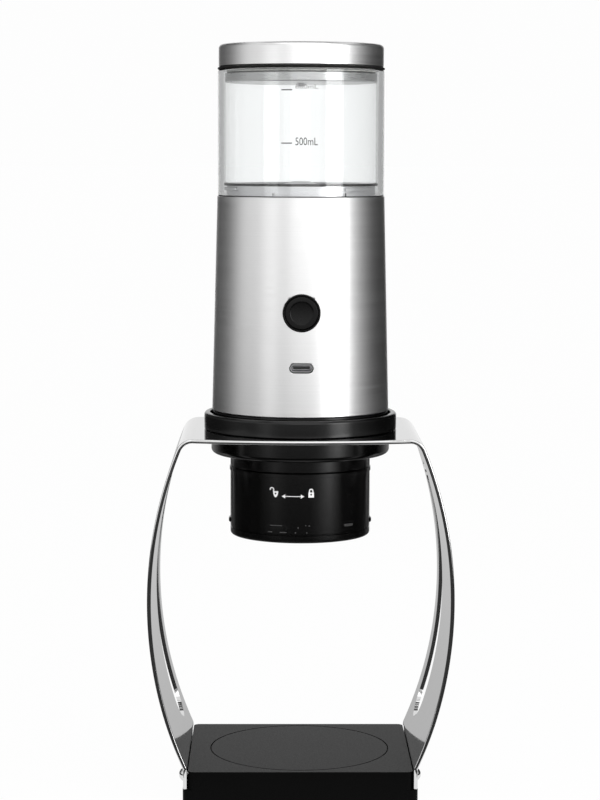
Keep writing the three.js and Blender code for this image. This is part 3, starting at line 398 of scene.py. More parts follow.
def turn(outline, centre=(0, 0, 0), facing="up", sides=ROUND_SIDES):
    """A turned piece: its outline, as radius and height, is drawn and spun round its axis."""
    out, along = (Vector(v) for v in FACINGS[facing])
    centre = Vector(centre)
    draw_line([centre + out * radius + along * height for radius, height in outline])
    bpy.ops.mesh.spin(steps=sides, angle=math.tau, center=centre, axis=along)
    return close_up()


def wedge(outline, middle, width):
    """Part of a ring: its closed section is spun through an angle about the machine's axis."""
    start = middle - width / 2
    way = Vector((math.cos(start), math.sin(start), 0))
    up = Vector(UPWARDS)
    draw_face([way * radius + up * height for radius, height in outline])
    bpy.ops.mesh.spin(steps=LUG_STEPS, angle=-width, center=(0, 0, 0), axis=UPWARDS)
    return close_up()


def three_lugs(section, first, width):
    """Three lugs of one section, evenly spaced about the machine's axis."""
    return [wedge(section, first + math.tau * step / 3, width) for step in range(3)]


def extrude_outline(points, travel):
    """A prism: a closed outline is filled and extruded."""
    draw_face(points)
    pull(travel)
    return close_up()


def add_modifier(piece, kind, **settings):
    """Adds a modifier, sets it and applies it."""
    make_active(piece)
    bpy.ops.object.modifier_add(type=kind)
    modifier = piece.modifiers[-1]
    for name, value in settings.items():
        setattr(modifier, name, value)
    bpy.ops.object.modifier_apply(modifier=modifier.name)


def carve(piece, cutters, operation="DIFFERENCE"):
    """Takes the cutters out of the piece, or joins them to it, and clears them away."""
    for cutter in cutters:
        add_modifier(piece, "BOOLEAN", object=cutter, operation=operation, solver="EXACT")
        bpy.data.objects.remove(cutter)


def bevel(piece, width, segments=2):
    """Rounds the piece's sharp edges."""
    limit = {"limit_method": "ANGLE", "angle_limit": SHARP_FROM}
    add_modifier(piece, "BEVEL", width=width, segments=segments, **limit)


def rod(radius, start, end, sides=SMALL_SIDES):
    """A round cutter from one point to another, along one axis."""
    start_fresh()
    start, end = Vector(start), Vector(end)
    way = (end - start).normalized()
    bpy.ops.mesh.primitive_cylinder_add(
        vertices=sides,
        radius=radius,
        depth=(end - start).length,
        location=(start + end) / 2,
        rotation=way.to_track_quat("Z", "Y").to_euler(),
    )
    settle()
    return bpy.context.object


def long_hole(radius, half, start, end, stretch):
    """A cutter with round ends: a rod whose two halves are pulled apart along one axis."""
    cutter = rod(radius, start, end)
    axis = Vector(stretch)
    middle = (Vector(start) + Vector(end)) / 2
    bpy.ops.object.mode_set(mode="EDIT")
    for side in (-1, 1):
        select_where(lambda place, _: (place - middle).dot(axis) * side > HAIR)
        bpy.ops.transform.translate(value=axis * side * half)
    bpy.ops.object.mode_set(mode="OBJECT")
    return cutter


def box_cutter(low, high):
    """A block between two opposite corners."""
    start_fresh()
    low, high = Vector(low), Vector(high)
    bpy.ops.mesh.primitive_cube_add(size=1, location=(low + high) / 2, scale=high - low)
    settle()
    return bpy.context.object


def flat_strip(left, right, low, high, front, columns):
    """A flat strip that faces the front, cut into columns so that it can follow a curve."""
    draw_line([(x, -front, low) for x, _ in straight((left, 0), (right, 0), columns)])
    pull((0, 0, high - low))
    return close_up()


def lay_on(piece, target):
    """Lays a flat mark on a curved piece, from the front, and gives it its thickness."""
    add_modifier(
        piece,
        "SHRINKWRAP",
        target=target,
        wrap_method="PROJECT",
        use_project_x=False,
        use_project_y=True,
        use_project_z=False,
        use_positive_direction=True,
        use_negative_direction=False,
    )
    bpy.ops.object.mode_set(mode="EDIT")
    select_where(lambda _, normal: normal.y > 0, "FACE")
    bpy.ops.mesh.flip_normals()
    bpy.ops.object.mode_set(mode="OBJECT")
    add_modifier(piece, "SOLIDIFY", thickness=PRINT, offset=1)


def finish_piece(piece, name, body, finish, nodes=(), look=None):
    """Names the piece, shades it, gives it its finish, ties it to its body and hides the given
    nodes of the frame.
    """
    make_active(piece)
    settle()
    bpy.ops.object.shade_smooth_by_angle(angle=SMOOTH_TO)
    add_modifier(piece, "WEIGHTED_NORMAL", keep_sharp=True)
    piece.name = piece.data.name = name
    piece.data.materials.clear()
    piece.data.materials.append(finish_named(look or finish))
    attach(piece, body)
    if nodes:
        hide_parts(*nodes)
    return piece


# Finishes

# Waves of a grain or texture in a metre, along X, Y and Z
BRUSHED = (20, 20, 3200)
TURNED = (120, 120, 1500)
ROLLED = (700, 60, 60)
FINE = (1800, 1800, 1800)
WRAPPED = (90, 90, 400)
WOVEN = (400, 400, 900)
RIPPLED = (60, 60, 60)

NOISE_LOW, NOISE_HIGH = 0.3, 0.7  # between these lies most of the noise
ROUGH_LOW, ROUGH_HIGH = 0.85, 1.15  # how far a grain changes the roughness
BUMP_DEPTH = 0.01 * MM
CLEAR_IOR = 1.49


def add_node(tree, kind, inputs=None, **settings):
    """A new shader node with its settings, and with inputs that are set or linked."""
    node = tree.nodes.new(f"ShaderNode{kind}")
    for name, value in settings.items():
        setattr(node, name, value)
    for name, value in (inputs or {}).items():
        if isinstance(value, NodeSocket):
            tree.links.new(value, node.inputs[name])
        else:
            node.inputs[name].default_value = value
    return node


def mix_out(tree, output, part, first, second):
    """Sends a mix of two shaders to the tree's output."""
    mix = add_node(tree, "MixShader", {"Fac": part, 1: first, 2: second})
    tree.links.new(mix.outputs["Shader"], tree.nodes[output].inputs["Surface"])


def new_finish(name):
    """An empty material with one Principled shader."""
    material = bpy.data.materials.new(name)
    material.use_nodes = True
    return material, material.node_tree, material.node_tree.nodes["Principled BSDF"]


def pattern(tree, waves, detail=3.0):
    """Noise on the piece's own coordinates, with a number of waves per metre each way."""
    place = add_node(tree, "TexCoord").outputs["Object"]
    mapping = add_node(tree, "Mapping", {"Vector": place, "Scale": waves})
    inputs = {"Vector": mapping.outputs["Vector"], "Scale": 1.0, "Detail": detail}
    return add_node(tree, "TexNoise", inputs).outputs["Fac"]


def vary(tree, source, low, high, socket):
    """Drives a number between two values by a pattern."""
    limits = {"From Min": NOISE_LOW, "From Max": NOISE_HIGH, "To Min": low, "To Max": high}
    spread = add_node(tree, "MapRange", {"Value": source, **limits})
    tree.links.new(spread.outputs["Result"], socket)


def tint(tree, source, base, spread, socket):
    """Drives a colour a little darker and lighter than its base by a pattern."""
    ramp = add_node(tree, "ValToRGB", {"Fac": source})
    ends = ((NOISE_LOW, 1 - spread), (NOISE_HIGH, 1 + spread))
    for stop, (place, factor) in zip(ramp.color_ramp.elements, ends):
        stop.position = place
        stop.color = (*(min(1.0, channel * factor) for channel in base), 1.0)
    tree.links.new(ramp.outputs["Color"], socket)


def grain(tree, shader, waves, base, spread, roughness, relief):
    """A grain that changes colour and roughness a little and stands out as fine relief."""
    noise = pattern(tree, waves)
    tint(tree, noise, base, spread, shader.inputs["Base Color"])
    vary(tree, noise, roughness * ROUGH_LOW, roughness * ROUGH_HIGH, shader.inputs["Roughness"])
    bump = add_node(tree, "Bump", {"Strength": relief, "Distance": BUMP_DEPTH, "Height": noise})
    tree.links.new(bump.outputs["Normal"], shader.inputs["Normal"])


def metal(name, base, roughness, waves, spread=0.03, relief=0.15, edge=1.0):
    """Bare metal, with a grain that follows how it was brushed, turned or rolled."""
    material, tree, shader = new_finish(name)
    shader.inputs["Metallic"].default_value = 1.0
    shader.inputs["Specular Tint"].default_value = (edge, edge, edge, 1)
    grain(tree, shader, waves, base, spread, roughness, relief)
    return material


def plastic(name, base, roughness, gloss, waves=FINE, spread=0.12, relief=0.1):
    """Moulded plastic, print or rubber, with a fine even texture."""
    material, tree, shader = new_finish(name)
    shader.inputs["Specular IOR Level"].default_value = gloss
    grain(tree, shader, waves, base, spread, roughness, relief)
    return material


def clear_plastic(name, base):
    """Clear moulded plastic with a very slight ripple."""
    material, tree, shader = new_finish(name)
    ripple = pattern(tree, RIPPLED, detail=1.0)
    shader.inputs["Transmission Weight"].default_value = 1.0
    shader.inputs["IOR"].default_value = CLEAR_IOR
    shader.inputs["Specular IOR Level"].default_value = 0.15
    tint(tree, ripple, base, 0.005, shader.inputs["Base Color"])
    vary(tree, ripple, 0.0, 0.02, shader.inputs["Roughness"])
    return material


def grey(level):
    return (level, level, level)


def build_finish(finish, name):
    """The material of one finish: a slot of the record, or the look of a single piece."""
    colours = bpy.context.scene.maker_colours
    dark_steel = (0.45, 0.45, 0.46)
    aluminium = (0.6, 0.6, 0.61)
    brass = (0.55, 0.36, 0.12)
    grey_plastic = (0.09, 0.1, 0.1)
    silicone = (0.6, 0.6, 0.57)
    wrap_blue = (0.03, 0.15, 0.27)
    board_green = (0.012, 0.1, 0.035)
    makers = {
        "brushed_steel": lambda: metal(name, colours.steel, 0.34, BRUSHED, 0.02, 0.05),
        "polished_steel": lambda: metal(name, colours.polished, 0.06, ROLLED, 0.02, 0.03, 0.87),
        "dim_steel": lambda: metal(name, grey(0.4), 0.3, TURNED, 0.02, 0.03),
        "dark_steel": lambda: metal(name, dark_steel, 0.35, TURNED),
        "aluminium": lambda: metal(name, aluminium, 0.35, TURNED),
        "brass": lambda: metal(name, brass, 0.3, TURNED),
        "black_plastic": lambda: plastic(name, colours.black, 0.2, 0.38, relief=0.03),
        "gloss_black": lambda: plastic(name, colours.black, 0.12, 0.8, relief=0.02),
        "satin_black": lambda: plastic(name, colours.black, 0.3, 0.2, relief=0.03),
        # Lighter than the black plastic: paints the highlights on the holder's small raised bits.
        "painted_highlight_grey": lambda: plastic(name, grey(0.045), 0.35, 0.6, relief=0.02),
        "matte_black": lambda: plastic(name, colours.matte, 0.38, 0.04, relief=0.12),
        "rubber": lambda: plastic(name, grey(0.008), 0.6, 0.15, relief=0.2),
        "grey_plastic": lambda: plastic(name, grey_plastic, 0.5, 0.4),
        "silicone": lambda: plastic(name, silicone, 0.5, 0.4),
        "cell_wrap": lambda: plastic(name, wrap_blue, 0.35, 0.5, WRAPPED),
        "board": lambda: plastic(name, board_green, 0.45, 0.5, WOVEN, relief=0.3),
        "print_white": lambda: plastic(name, colours.mark, 0.6, 0.3, spread=0.03, relief=0.02),
        "print_grey": lambda: plastic(name, colours.fill_mark, 0.6, 0.3, relief=0.02),
        "print_faint": lambda: plastic(name, grey(0.3), 0.6, 0.3, relief=0.02),
        "clear_plastic": lambda: clear_plastic(name, colours.clear),
    }
    return makers[finish]()


def finish_named(finish):
    name = f"{finish}_finish"
    return bpy.data.materials.get(name) or build_finish(finish, name)


# Stand


def rounded_block(half_x, half_y, corner, bottom, top):
    """A block about the axis, with its upright corners rounded."""
    outline = [
        *arc(half_x - corner, half_y - corner, corner, 0, 90),
        *arc(corner - half_x, half_y - corner, corner, 90, 180),
        *arc(corner - half_x, corner - half_y, corner, 180, 270),
        *arc(half_x - corner, corner - half_y, corner, 270, 360),
    ]
    return extrude_outline([(x, y, bottom) for x, y in outline], (0, 0, top - bottom))


class AddBase(Operator):
    """Base block with its recesses, and the round cup pad let into its top"""

    bl_idname = "maker.add_base"
    bl_label = "Base"

    def execute(self, context):
        sizes = context.scene.maker_stand
        pad_radius, pad_bottom, pad_top = round_node("cup_pad")
        self.add_block(sizes, pad_radius, pad_bottom)
        self.add_pad(pad_radius, pad_bottom, pad_top)
        return {"FINISHED"}

    def add_block(self, sizes, pad_radius, pad_bottom):
        low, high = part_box("base_block")
        half = sizes.feet / 2 - sizes.sheet - FIT
        lip_top = low.z + sizes.lip
        block = rounded_block(half, high.y, sizes.corner, lip_top - PAST, high.z)
        lip = rounded_block(high.x, high.y, sizes.corner, low.z, lip_top)
        carve(block, [lip], "UNION")
        start, end = (0, 0, pad_bottom), (0, 0, high.z + PAST)
        pad_recess = rod(pad_radius + sizes.pad_gap, start, end, ROUND_SIDES)
        plate_low, plate_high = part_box("base_bottom_plate")
        room, below = Vector((FIT, FIT, FIT)), Vector((0, 0, PAST))
        plate_recess = box_cutter(plate_low - room - below, plate_high + room)
        carve(block, [pad_recess, plate_recess])
        bevel(block, sizes.edge, 3)
        finish_piece(block, "base_body", "stand", "matte_black", ["base_block"])

    def add_pad(self, radius, bottom, top):
        edge = 0.3 * MM
        rim = arc(radius - edge, top - edge, edge, 90, 0, 3)
        pad = turn([(0, top), *rim, (radius, bottom), (0, bottom)])
        finish_piece(pad, "cup_rest_pad", "stand", "matte_black", ["cup_pad"])


class AddStrap(Operator):
    """Bent strap: flat top with bowed edges, two bowed arms with long slots, and two feet"""

    bl_idname = "maker.add_strap"
    bl_label = "Strap"

    top_steps = 20
    arm_steps = 60

    def execute(self, context):
        sizes = context.scene.maker_stand
        low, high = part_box("stand_strap")
        half_width = high.y - sizes.bulge
        path, bend_x = self.path(sizes, low, high)
        draw_line([(x, -half_width, z) for x, z in path])
        pull((0, 2 * half_width, 0))
        self.bow_top(sizes, high.z, half_width, bend_x)
        strap = close_up()
        if max(strap.data.polygons, key=lambda face: face.center.z).normal.z < 0:
            strap.data.flip_normals()
        add_modifier(strap, "MIRROR", use_clip=True, merge_threshold=0.1 * MM)
        add_modifier(strap, "SOLIDIFY", thickness=sizes.sheet, offset=-1, use_even_offset=True)
        bevel(strap, sizes.sheet_edge, 3)
        carve(strap, self.openings(sizes, high))
        bevel(strap, sizes.sheet_edge / 4)
        finish_piece(strap, "strap", "stand", "polished_steel", ["stand_strap"])
        return {"FINISHED"}

    def path(self, sizes, low, high):
        """The outer face of the right half, from the middle of the flat top to the foot."""
        base_top = top_of("base_block")
        reach, top = high.x, high.z
        widest_z = base_top + (top - base_top) * sizes.widest
        bow = reach - sizes.feet / 2
        rise = widest_z - base_top - sizes.foot_lift
        arm_radius = (bow**2 + rise**2) / (2 * bow)
        arm_x = reach - arm_radius
        bend_z = top - sizes.top_bend
        bend_angle = math.asin((bend_z - widest_z) / (arm_radius - sizes.top_bend))
        bend_x = arm_x + (arm_radius - sizes.top_bend) * math.cos(bend_angle)
        foot_x = sizes.feet / 2 + sizes.foot_bend
        foot_angle = math.acos((foot_x - arm_x) / (arm_radius + sizes.foot_bend))
        foot_z = widest_z - (arm_radius + sizes.foot_bend) * math.sin(foot_angle)
        bend, foot = math.degrees(bend_angle), math.degrees(foot_angle)
        path = [
            *straight((0, top), (bend_x, top), self.top_steps),
            *arc(bend_x, bend_z, sizes.top_bend, 90, bend, 12)[1:],
            *arc(arm_x, widest_z, arm_radius, bend, -foot, self.arm_steps)[1:],
            *arc(foot_x, foot_z, sizes.foot_bend, 180 - foot, 180)[1:],
            (sizes.feet / 2, low.z),
        ]
        return path, bend_x

    def bow_top(self, sizes, top, half_width, bend_x):
        """Pulls the flat top's front and back edges out along an arc."""
        arc_radius = (bend_x**2 + sizes.bulge**2) / (2 * sizes.bulge)
        near = HAIR * 10
        for index in range(self.top_steps):
            x = bend_x * index / self.top_steps
            reach = math.sqrt(arc_radius**2 - x**2) - arc_radius + sizes.bulge
            for side in (-1, 1):
                select_where(
                    lambda place, _: abs(place.x - x) < near
                    and place.z > top - near
                    and place.y * side > half_width / 2
                )
                bpy.ops.transform.translate(value=(0, side * reach, 0))

    def openings(self, sizes, high):
        """The bore for the clamp ring's spigot, the arms' slots and the screw holes."""
        start, end = (0, 0, high.z - 2 * sizes.sheet), (0, 0, high.z + PAST)
        bore = rod(sizes.bore + sizes.spigot + FIT, start, end, ROUND_SIDES)
        slot_z = top_of("base_block") + sizes.slot_lift + sizes.slot_length / 2
        half = (sizes.slot_length - sizes.slot_width) / 2
        reach = high.x + PAST
        start, end = (-reach, sizes.slot_back, slot_z), (reach, sizes.slot_back, slot_z)
        slot = long_hole(sizes.slot_width / 2, half, start, end, UPWARDS)
        screw_hole = 1.6 * MM
        holes = []
        for node in SCREWS:
            middle, side = screw_place(node)
            start = (side * (sizes.feet / 2 - 2 * sizes.sheet), middle.y, middle.z)
            end = (side * (sizes.feet / 2 + PAST), middle.y, middle.z)
            holes.append(rod(screw_hole, start, end, HOLE_SIDES))
        return [bore, slot, *holes]


class AddStrapScrews(Operator):
    """Dome-head screws with a hexagon socket that hold the strap's feet to the base"""

    bl_idname = "maker.add_strap_screws"
    bl_label = "Strap screws"

    def execute(self, context):
        for node in SCREWS:
            self.add_screw(node)
        return {"FINISHED"}

    def add_screw(self, node):
        dome, shank = 2 * MM, 1.3 * MM
        hexagon, hexagon_depth = 1 * MM, 0.9 * MM
        low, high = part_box(node)
        middle, side = screw_place(node)
        head = (high.z - low.z) / 2
        tip, crown = sorted((abs(low.x), abs(high.x)))
        seat = crown - dome
        dome_radius = (head**2 + (crown - seat) ** 2) / (2 * (crown - seat))
        edge = math.degrees(math.acos(head / dome_radius))
        outline = [
            (0, tip),
            (shank * 0.7, tip),
            (shank, tip + shank * 0.4),
            (shank, seat),
            (head * 0.96, seat),
            *arc(0, crown - dome_radius, dome_radius, edge, 90, 8),
        ]
        centre = (0, middle.y, middle.z)
        screw = turn(outline, centre, "right" if side > 0 else "left", SCREW_SIDES)
        start = (side * (crown - hexagon_depth), middle.y, middle.z)
        end = (side * (crown + PAST), middle.y, middle.z)
        carve(screw, [rod(hexagon, start, end, sides=6)])
        finish_piece(screw, f"{node}_dome", "stand", "polished_steel", [node])


class AddRings(Operator):
    """Socket ring that the machine stands in, and clamp ring that holds it from below"""

    bl_idname = "maker.add_rings"
    bl_label = "Socket and clamp rings"

    soft = 0.35 * MM

    def execute(self, context):
        sizes = context.scene.maker_stand
        self.add_socket(sizes)
        self.add_clamp(sizes)
        return {"FINISHED"}

    def add_socket(self, sizes):
        outer, low, high = round_node("socket_ring")
        inner, edge, soft = outer - sizes.socket_wall, sizes.socket_round, self.soft
        strap_top = top_of("stand_strap")
        seat, ledge = strap_top + FIT / 2, strap_top + sizes.socket_ledge
        spigot = sizes.bore + sizes.spigot
        outline = [
            (sizes.bore, low),
            (spigot, low),
            (spigot, seat),
            (outer - soft, seat),
            (outer, seat + soft),
            *arc(outer - edge, high - edge, edge, 0, 90, 8),
            *arc(inner + soft, high - soft, soft, 90, 180, 3),
            (inner, ledge),
            (sizes.bore, ledge),
            (sizes.bore, low),
        ]
        socket = turn(outline)
        finish_piece(socket, "socket_ring_body", "stand", "black_plastic", ["socket_ring"])

    def add_clamp(self, sizes):
        outer, low, high = round_node("clamp_ring")
        inner, edge, soft = sizes.bore + sizes.spigot + FIT, sizes.clamp_round, self.soft
        outline = [
            (inner, low),
            *arc(outer - edge, low + edge, edge, -90, 0, 10),
            (outer, high - soft),
            (outer - soft, high),
            (inner, high),
            (inner, low),
        ]
        finish_piece(turn(outline), "clamp_ring_body", "stand", "black_plastic", ["clamp_ring"])


# Machine


class AddShell(Operator):
    """Brushed steel shell, slightly wider at its foot, with the button's and the port's holes"""

    bl_idname = "maker.add_shell"
    bl_label = "Shell"

    def execute(self, context):
        sizes = context.scene.maker_machine
        foot, low, high = round_node("body_shell")
        edge, wall, head = sizes.shell_round, sizes.shell_wall, sizes.shell_top
        soft = 0.2 * MM
        outline = [
            (foot - edge - wall / 2, low),
            *arc(foot - edge, low + edge, edge, -90, 0, 8),
            *straight((foot, low + edge), (head, high - soft), 40)[1:],
            (head - soft, high),
            (head - wall, high),
            *straight((head - wall, high), (foot - wall, low + edge), 12)[1:],
            (foot - edge - wall / 2, low),
        ]
        shell = turn(outline)
        carve(shell, self.openings(sizes, foot))
        bevel(shell, 0.12 * MM)
        finish_piece(shell, "shell", "machine", "brushed_steel", ["body_shell"])
        return {"FINISHED"}

    def openings(self, sizes, foot):
        """The round hole for the button's ring and the long one for the charging port."""
        inside, outside = -foot / 2, -(foot + PAST)
        low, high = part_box("button_bezel")
        z = (low.z + high.z) / 2
        button_hole = rod(sizes.bezel + sizes.hole_gap, (0, inside, z), (0, outside, z))
        low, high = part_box("usb_c_port")
        z = (low.z + high.z) / 2
        half_tall = (high.z - low.z) / 2 + sizes.port_gap
        spread = high.x + sizes.port_gap - half_tall
        port_hole = long_hole(half_tall, spread, (0, inside, z), (0, outside, z), SIDEWAYS)
        return [button_hole, port_hole]


class AddButton(Operator):
    """Ring round the button, and the button with its shallow dish"""

    bl_idname = "maker.add_button"
    bl_label = "Button"

    soft = 0.2 * MM

    def execute(self, context):
        sizes = context.scene.maker_machine
        low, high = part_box("button_bezel")
        centre = (0, 0, (low.z + high.z) / 2)
        self.add_bezel(sizes, centre, high.x, -high.y, -low.y)
        low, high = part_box("button_cap")
        self.add_cap(sizes, centre, high.x, -high.y, -low.y)
        return {"FINISHED"}

    def add_bezel(self, sizes, centre, flange, back, front):
        soft, outer = self.soft, sizes.bezel
        inner = outer - sizes.bezel_wall
        shoulder = back + 2 * MM
        outline = [
            (inner, back),
            (flange, back),
            (flange, shoulder),
            (outer, shoulder),
            *arc(outer - soft, front - soft, soft, 0, 90, 3),
            *arc(inner + soft, front - soft, soft, 90, 180, 3),
            (inner, back),
        ]
        bezel = turn(outline, centre, "front", MIDDLE_SIDES)
        finish_piece(bezel, "bezel", "machine", "black_plastic", ["button_bezel"], "satin_black")

    def add_cap(self, sizes, centre, flange, back, front):
        soft, edge, flange_depth = self.soft, 0.35 * MM, 0.7 * MM
        radius, dish, depth = sizes.button, sizes.dish, sizes.dish_depth
        outline = [
            (0, back),
            (flange, back),
            (flange, back + flange_depth),
            (radius, back + flange_depth),
            *arc(radius - edge, front - edge, edge, 0, 90, 4),
            (dish + soft, front),
            (dish, front - soft),
            (dish - depth, front - depth),
            (0, front - depth),
        ]
        button = turn(outline, centre, "front", MIDDLE_SIDES)
        finish_piece(button, "button", "button", "black_plastic", ["button_cap"], "satin_black")


class AddPort(Operator):
    """Charging port: a shell with round ends, and the tongue inside it"""

    bl_idname = "maker.add_port"
    bl_label = "Charging port"

    def execute(self, context):
        self.add_shell(context.scene.maker_machine.port_wall)
        tongue = box_cutter(*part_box("usb_c_tongue"))
        bevel(tongue, 0.12 * MM)
        finish_piece(tongue, "port_tongue", "machine", "black_plastic", ["usb_c_tongue"])
        return {"FINISHED"}

    def add_shell(self, wall):
        low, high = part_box("usb_c_port")
        z = (low.z + high.z) / 2
        radius = (high.z - low.z) / 2
        spread = high.x - radius
        port = long_hole(radius, spread, (0, high.y, z), (0, low.y, z), SIDEWAYS)
        back, front = (0, high.y - 2 * wall, z), (0, low.y - PAST, z)
        carve(port, [long_hole(radius - wall, spread, back, front, SIDEWAYS)])
        bevel(port, 0.06 * MM)
        finish_piece(port, "port_shell", "machine", "dark_steel", ["usb_c_port"])


class AddNeck(Operator):
    """Base cap under the shell, and the neck with the lugs that the holder twists on to"""

    bl_idname = "maker.add_neck"
    bl_label = "Cap and neck"

    def execute(self, context):
        sizes = context.scene.maker_machine
        self.add_cap(sizes)
        self.add_neck(sizes, context.scene.maker_tank)
        return {"FINISHED"}

    def add_cap(self, sizes):
        radius, low, high = round_node("base_cap")
        rim = radius_of("body_shell") - sizes.cap_step
        bore, wall = sizes.cap_bore, sizes.cap_wall
        side_top, floor = low + sizes.cap_side, low + sizes.cap_floor
        edge = 0.5 * MM
        outline = [
            (bore, low),
            *arc(radius - edge, low + edge, edge, -90, 0, 4),
            (radius, side_top),
            (rim, side_top),
            (rim, high),
            (rim - wall, high),
            (rim - wall, floor),
            (bore, floor),
            (bore, low),
        ]
        finish_piece(turn(outline), "cap", "machine", "black_plastic", ["base_cap"])

    def add_neck(self, sizes, lugs):
        outer, low, high = round_node("group_head")
        inner = outer - sizes.neck_wall
        floor_top = high - sizes.neck_depth
        floor_bottom = floor_top - sizes.neck_floor
        bore, soft = 2 * MM, 0.3 * MM
        outline = [
            (bore, floor_bottom),
            (inner, floor_bottom),
            (inner, low),
            *arc(outer - soft, low + soft, soft, -90, 0, 3),
            *arc(outer - soft, high - soft, soft, 0, 90, 3),
            (inner, high),
            (inner, floor_top),
            (bore, floor_top),
            (bore, floor_bottom),
        ]
        neck = turn(outline)
        tip, lug_top = inner - lugs.lug_reach, low + lugs.lug_height
        section = [
            (tip, low + HAIR),
            (outer - soft, low + soft),
            (outer - soft, lug_top),
            (tip, lug_top),
        ]
        carve(neck, three_lugs(section, 0, lugs.lug_angle), "UNION")
        finish_piece(neck, "neck", "machine", "black_plastic", ["group_head"])


# Tank and lid


class AddDeck(Operator):
    """Deck that is the tank's floor, its lugs, the seal round it and the thin dark ring on its
    shoulder
    """

    bl_idname = "maker.add_deck"
    bl_label = "Tank deck"

    seal_sink = 1.05 * MM  # from the seal's outside in to the deck's side

    def execute(self, context):
        sizes, machine = context.scene.maker_tank, context.scene.maker_machine
        seal_radius, seal_bottom, seal_top = round_node("tank_seal")
        radius = seal_radius - self.seal_sink
        self.add_deck(sizes, machine, radius, seal_bottom)
        seal = turn(ring_outline(radius + 0.05 * MM, seal_radius, seal_bottom, seal_top, 0.3 * MM))
        finish_piece(seal, "deck_seal", "machine", "rubber", ["tank_seal"])
        self.add_dark_ring(machine, radius)
        return {"FINISHED"}

    def add_deck(self, sizes, machine, radius, seal_bottom):
        low, high = bottom_of("tank_deck"), top_of("tank_deck")
        flange = machine.shell_top - machine.shell_wall - FIT
        shoulder = top_of("body_shell")
        bore, dish, soft = 2.5 * MM, 1.2 * MM, 0.2 * MM
        rim = radius - 3 * MM
        outline = [
            (bore, low),
            (flange, low),
            (flange, shoulder),
            (radius, shoulder),
            (radius, high - soft),
            (radius - soft, high),
            (rim, high),
            (rim - dish, high - dish),
            (bore, high - dish),
            (bore, low),
        ]
        deck = turn(outline)
        lug_top = seal_bottom - 0.6 * MM
        tip = radius + sizes.lug_reach
        section = lug_section(radius - MM, tip, lug_top - sizes.lug_height, lug_top)
        carve(deck, three_lugs(section, sizes.deck_lug_place, sizes.lug_angle), "UNION")
        bevel(deck, 0.15 * MM)
        finish_piece(deck, "deck", "machine", "aluminium", ["tank_deck"])

    def add_dark_ring(self, machine, radius):
        """A thin dark ring that fills most of the gap between the shell's top and the tank, and
        makes the dark line along that gap.
        """
        shoulder = top_of("body_shell")
        gap = bottom_of("water_tank") - shoulder
        inner, outer = radius + MM, machine.shell_top - 0.4 * MM
        low, high = shoulder + gap * 0.1, shoulder + gap * 0.9
        dark_ring = turn(ring_outline(inner, outer, low, high, gap * 0.2))
        finish_piece(dark_ring, "shoulder_dark_ring", "machine", "rubber")


class AddTank(Operator):
    """Clear tank tube with a rounded rim and the lugs that lock it to the deck"""

    bl_idname = "maker.add_tank"
    bl_label = "Tank"

    def execute(self, context):
        sizes = context.scene.maker_tank
        outer, low, high = round_node("water_tank")
        inner, rim, soft = outer - sizes.wall, sizes.rim, 0.25 * MM
        outline = [
            (inner, low),
            *arc(outer - soft, low + soft, soft, -90, 0, 3),
            *straight((outer, low + soft), (outer, high - rim), 10)[1:],
            *arc(outer - rim, high - rim, rim, 0, 90)[1:],
            *arc(inner + soft, high - soft, soft, 90, 180, 3),
            *straight((inner, high - soft), (inner, low), 10)[1:],
        ]
        tank = turn(outline)
        tip, root = inner - sizes.lug_reach, inner + sizes.wall / 2
        section = lug_section(tip, root, low, low + sizes.lug_height)
        carve(tank, three_lugs(section, sizes.tank_lug_place, sizes.tank_lug_angle), "UNION")
        finish_piece(tank, "tank", "tank", "clear_plastic", ["water_tank"])
        return {"FINISHED"}


class AddFillMarks(Operator):
    """Printed fill marks on the front of the tank: a line and its amount"""

    bl_idname = "maker.add_fill_marks"
    bl_label = "Fill marks"

    def execute(self, context):
        sizes = context.scene.maker_tank
        drop, upper_drop = 0.7 * MM, 1.3 * MM  # from a text's middle down to its line
        self.add_text(sizes, "fill_mark", sizes.mark_text, sizes.mark_level, sizes.mark_height)
        self.add_line(sizes, "fill_mark_line", sizes.mark_level - drop)
        self.add_text(
            sizes,
            "upper_fill_mark",
            sizes.upper_text,
            sizes.upper_level,
            sizes.upper_height,
            "print_faint",
        )
        self.add_line(sizes, "upper_fill_mark_line", sizes.upper_level - upper_drop)
        return {"FINISHED"}

    def front(self):
        """A plane that is clear of the tank, from which the marks are laid on it."""
        return radius_of("water_tank") + 5 * MM

    def add_line(self, sizes, name, level):
        """The line to the left of an amount."""
        right = sizes.mark_left - 1.3 * MM
        half = sizes.dash_tall / 2
        left = right - sizes.dash_width
        line = flat_strip(left, right, level - half, level + half, self.front(), 8)
        lay_on(line, bpy.data.objects["tank"])
        finish_piece(line, name, "tank", "print_grey")

    def add_text(self, sizes, name, text, level, tall, look=None):
        """The amount, as a mesh as wide and tall as the printed one."""
        start_fresh()
        bpy.ops.object.text_add(rotation=(math.pi / 2, 0, 0))
        bpy.context.object.data.body = text
        bpy.ops.object.convert(target="MESH")
        label = bpy.context.object
        settle()
        corners = [Vector(corner) for corner in label.bound_box]
        low = Vector([min(corner[axis] for corner in corners) for axis in range(3)])
        high = Vector([max(corner[axis] for corner in corners) for axis in range(3)])
        size = high - low
        scale = (sizes.mark_width / size.x, 1, tall / size.z)
        place = (sizes.mark_left, -self.front(), level - tall / 2)
        bpy.ops.object.mode_set(mode="EDIT")
        bpy.ops.mesh.select_all(action="SELECT")
        bpy.ops.transform.translate(value=-low)
        bpy.ops.transform.resize(value=scale, center_override=(0, 0, 0))
        bpy.ops.transform.translate(value=place)
        bpy.ops.mesh.remove_doubles(threshold=HAIR)
        bpy.ops.object.mode_set(mode="OBJECT")
        lay_on(label, bpy.data.objects["tank"])
        finish_piece(label, name, "tank", "print_grey", look=look)


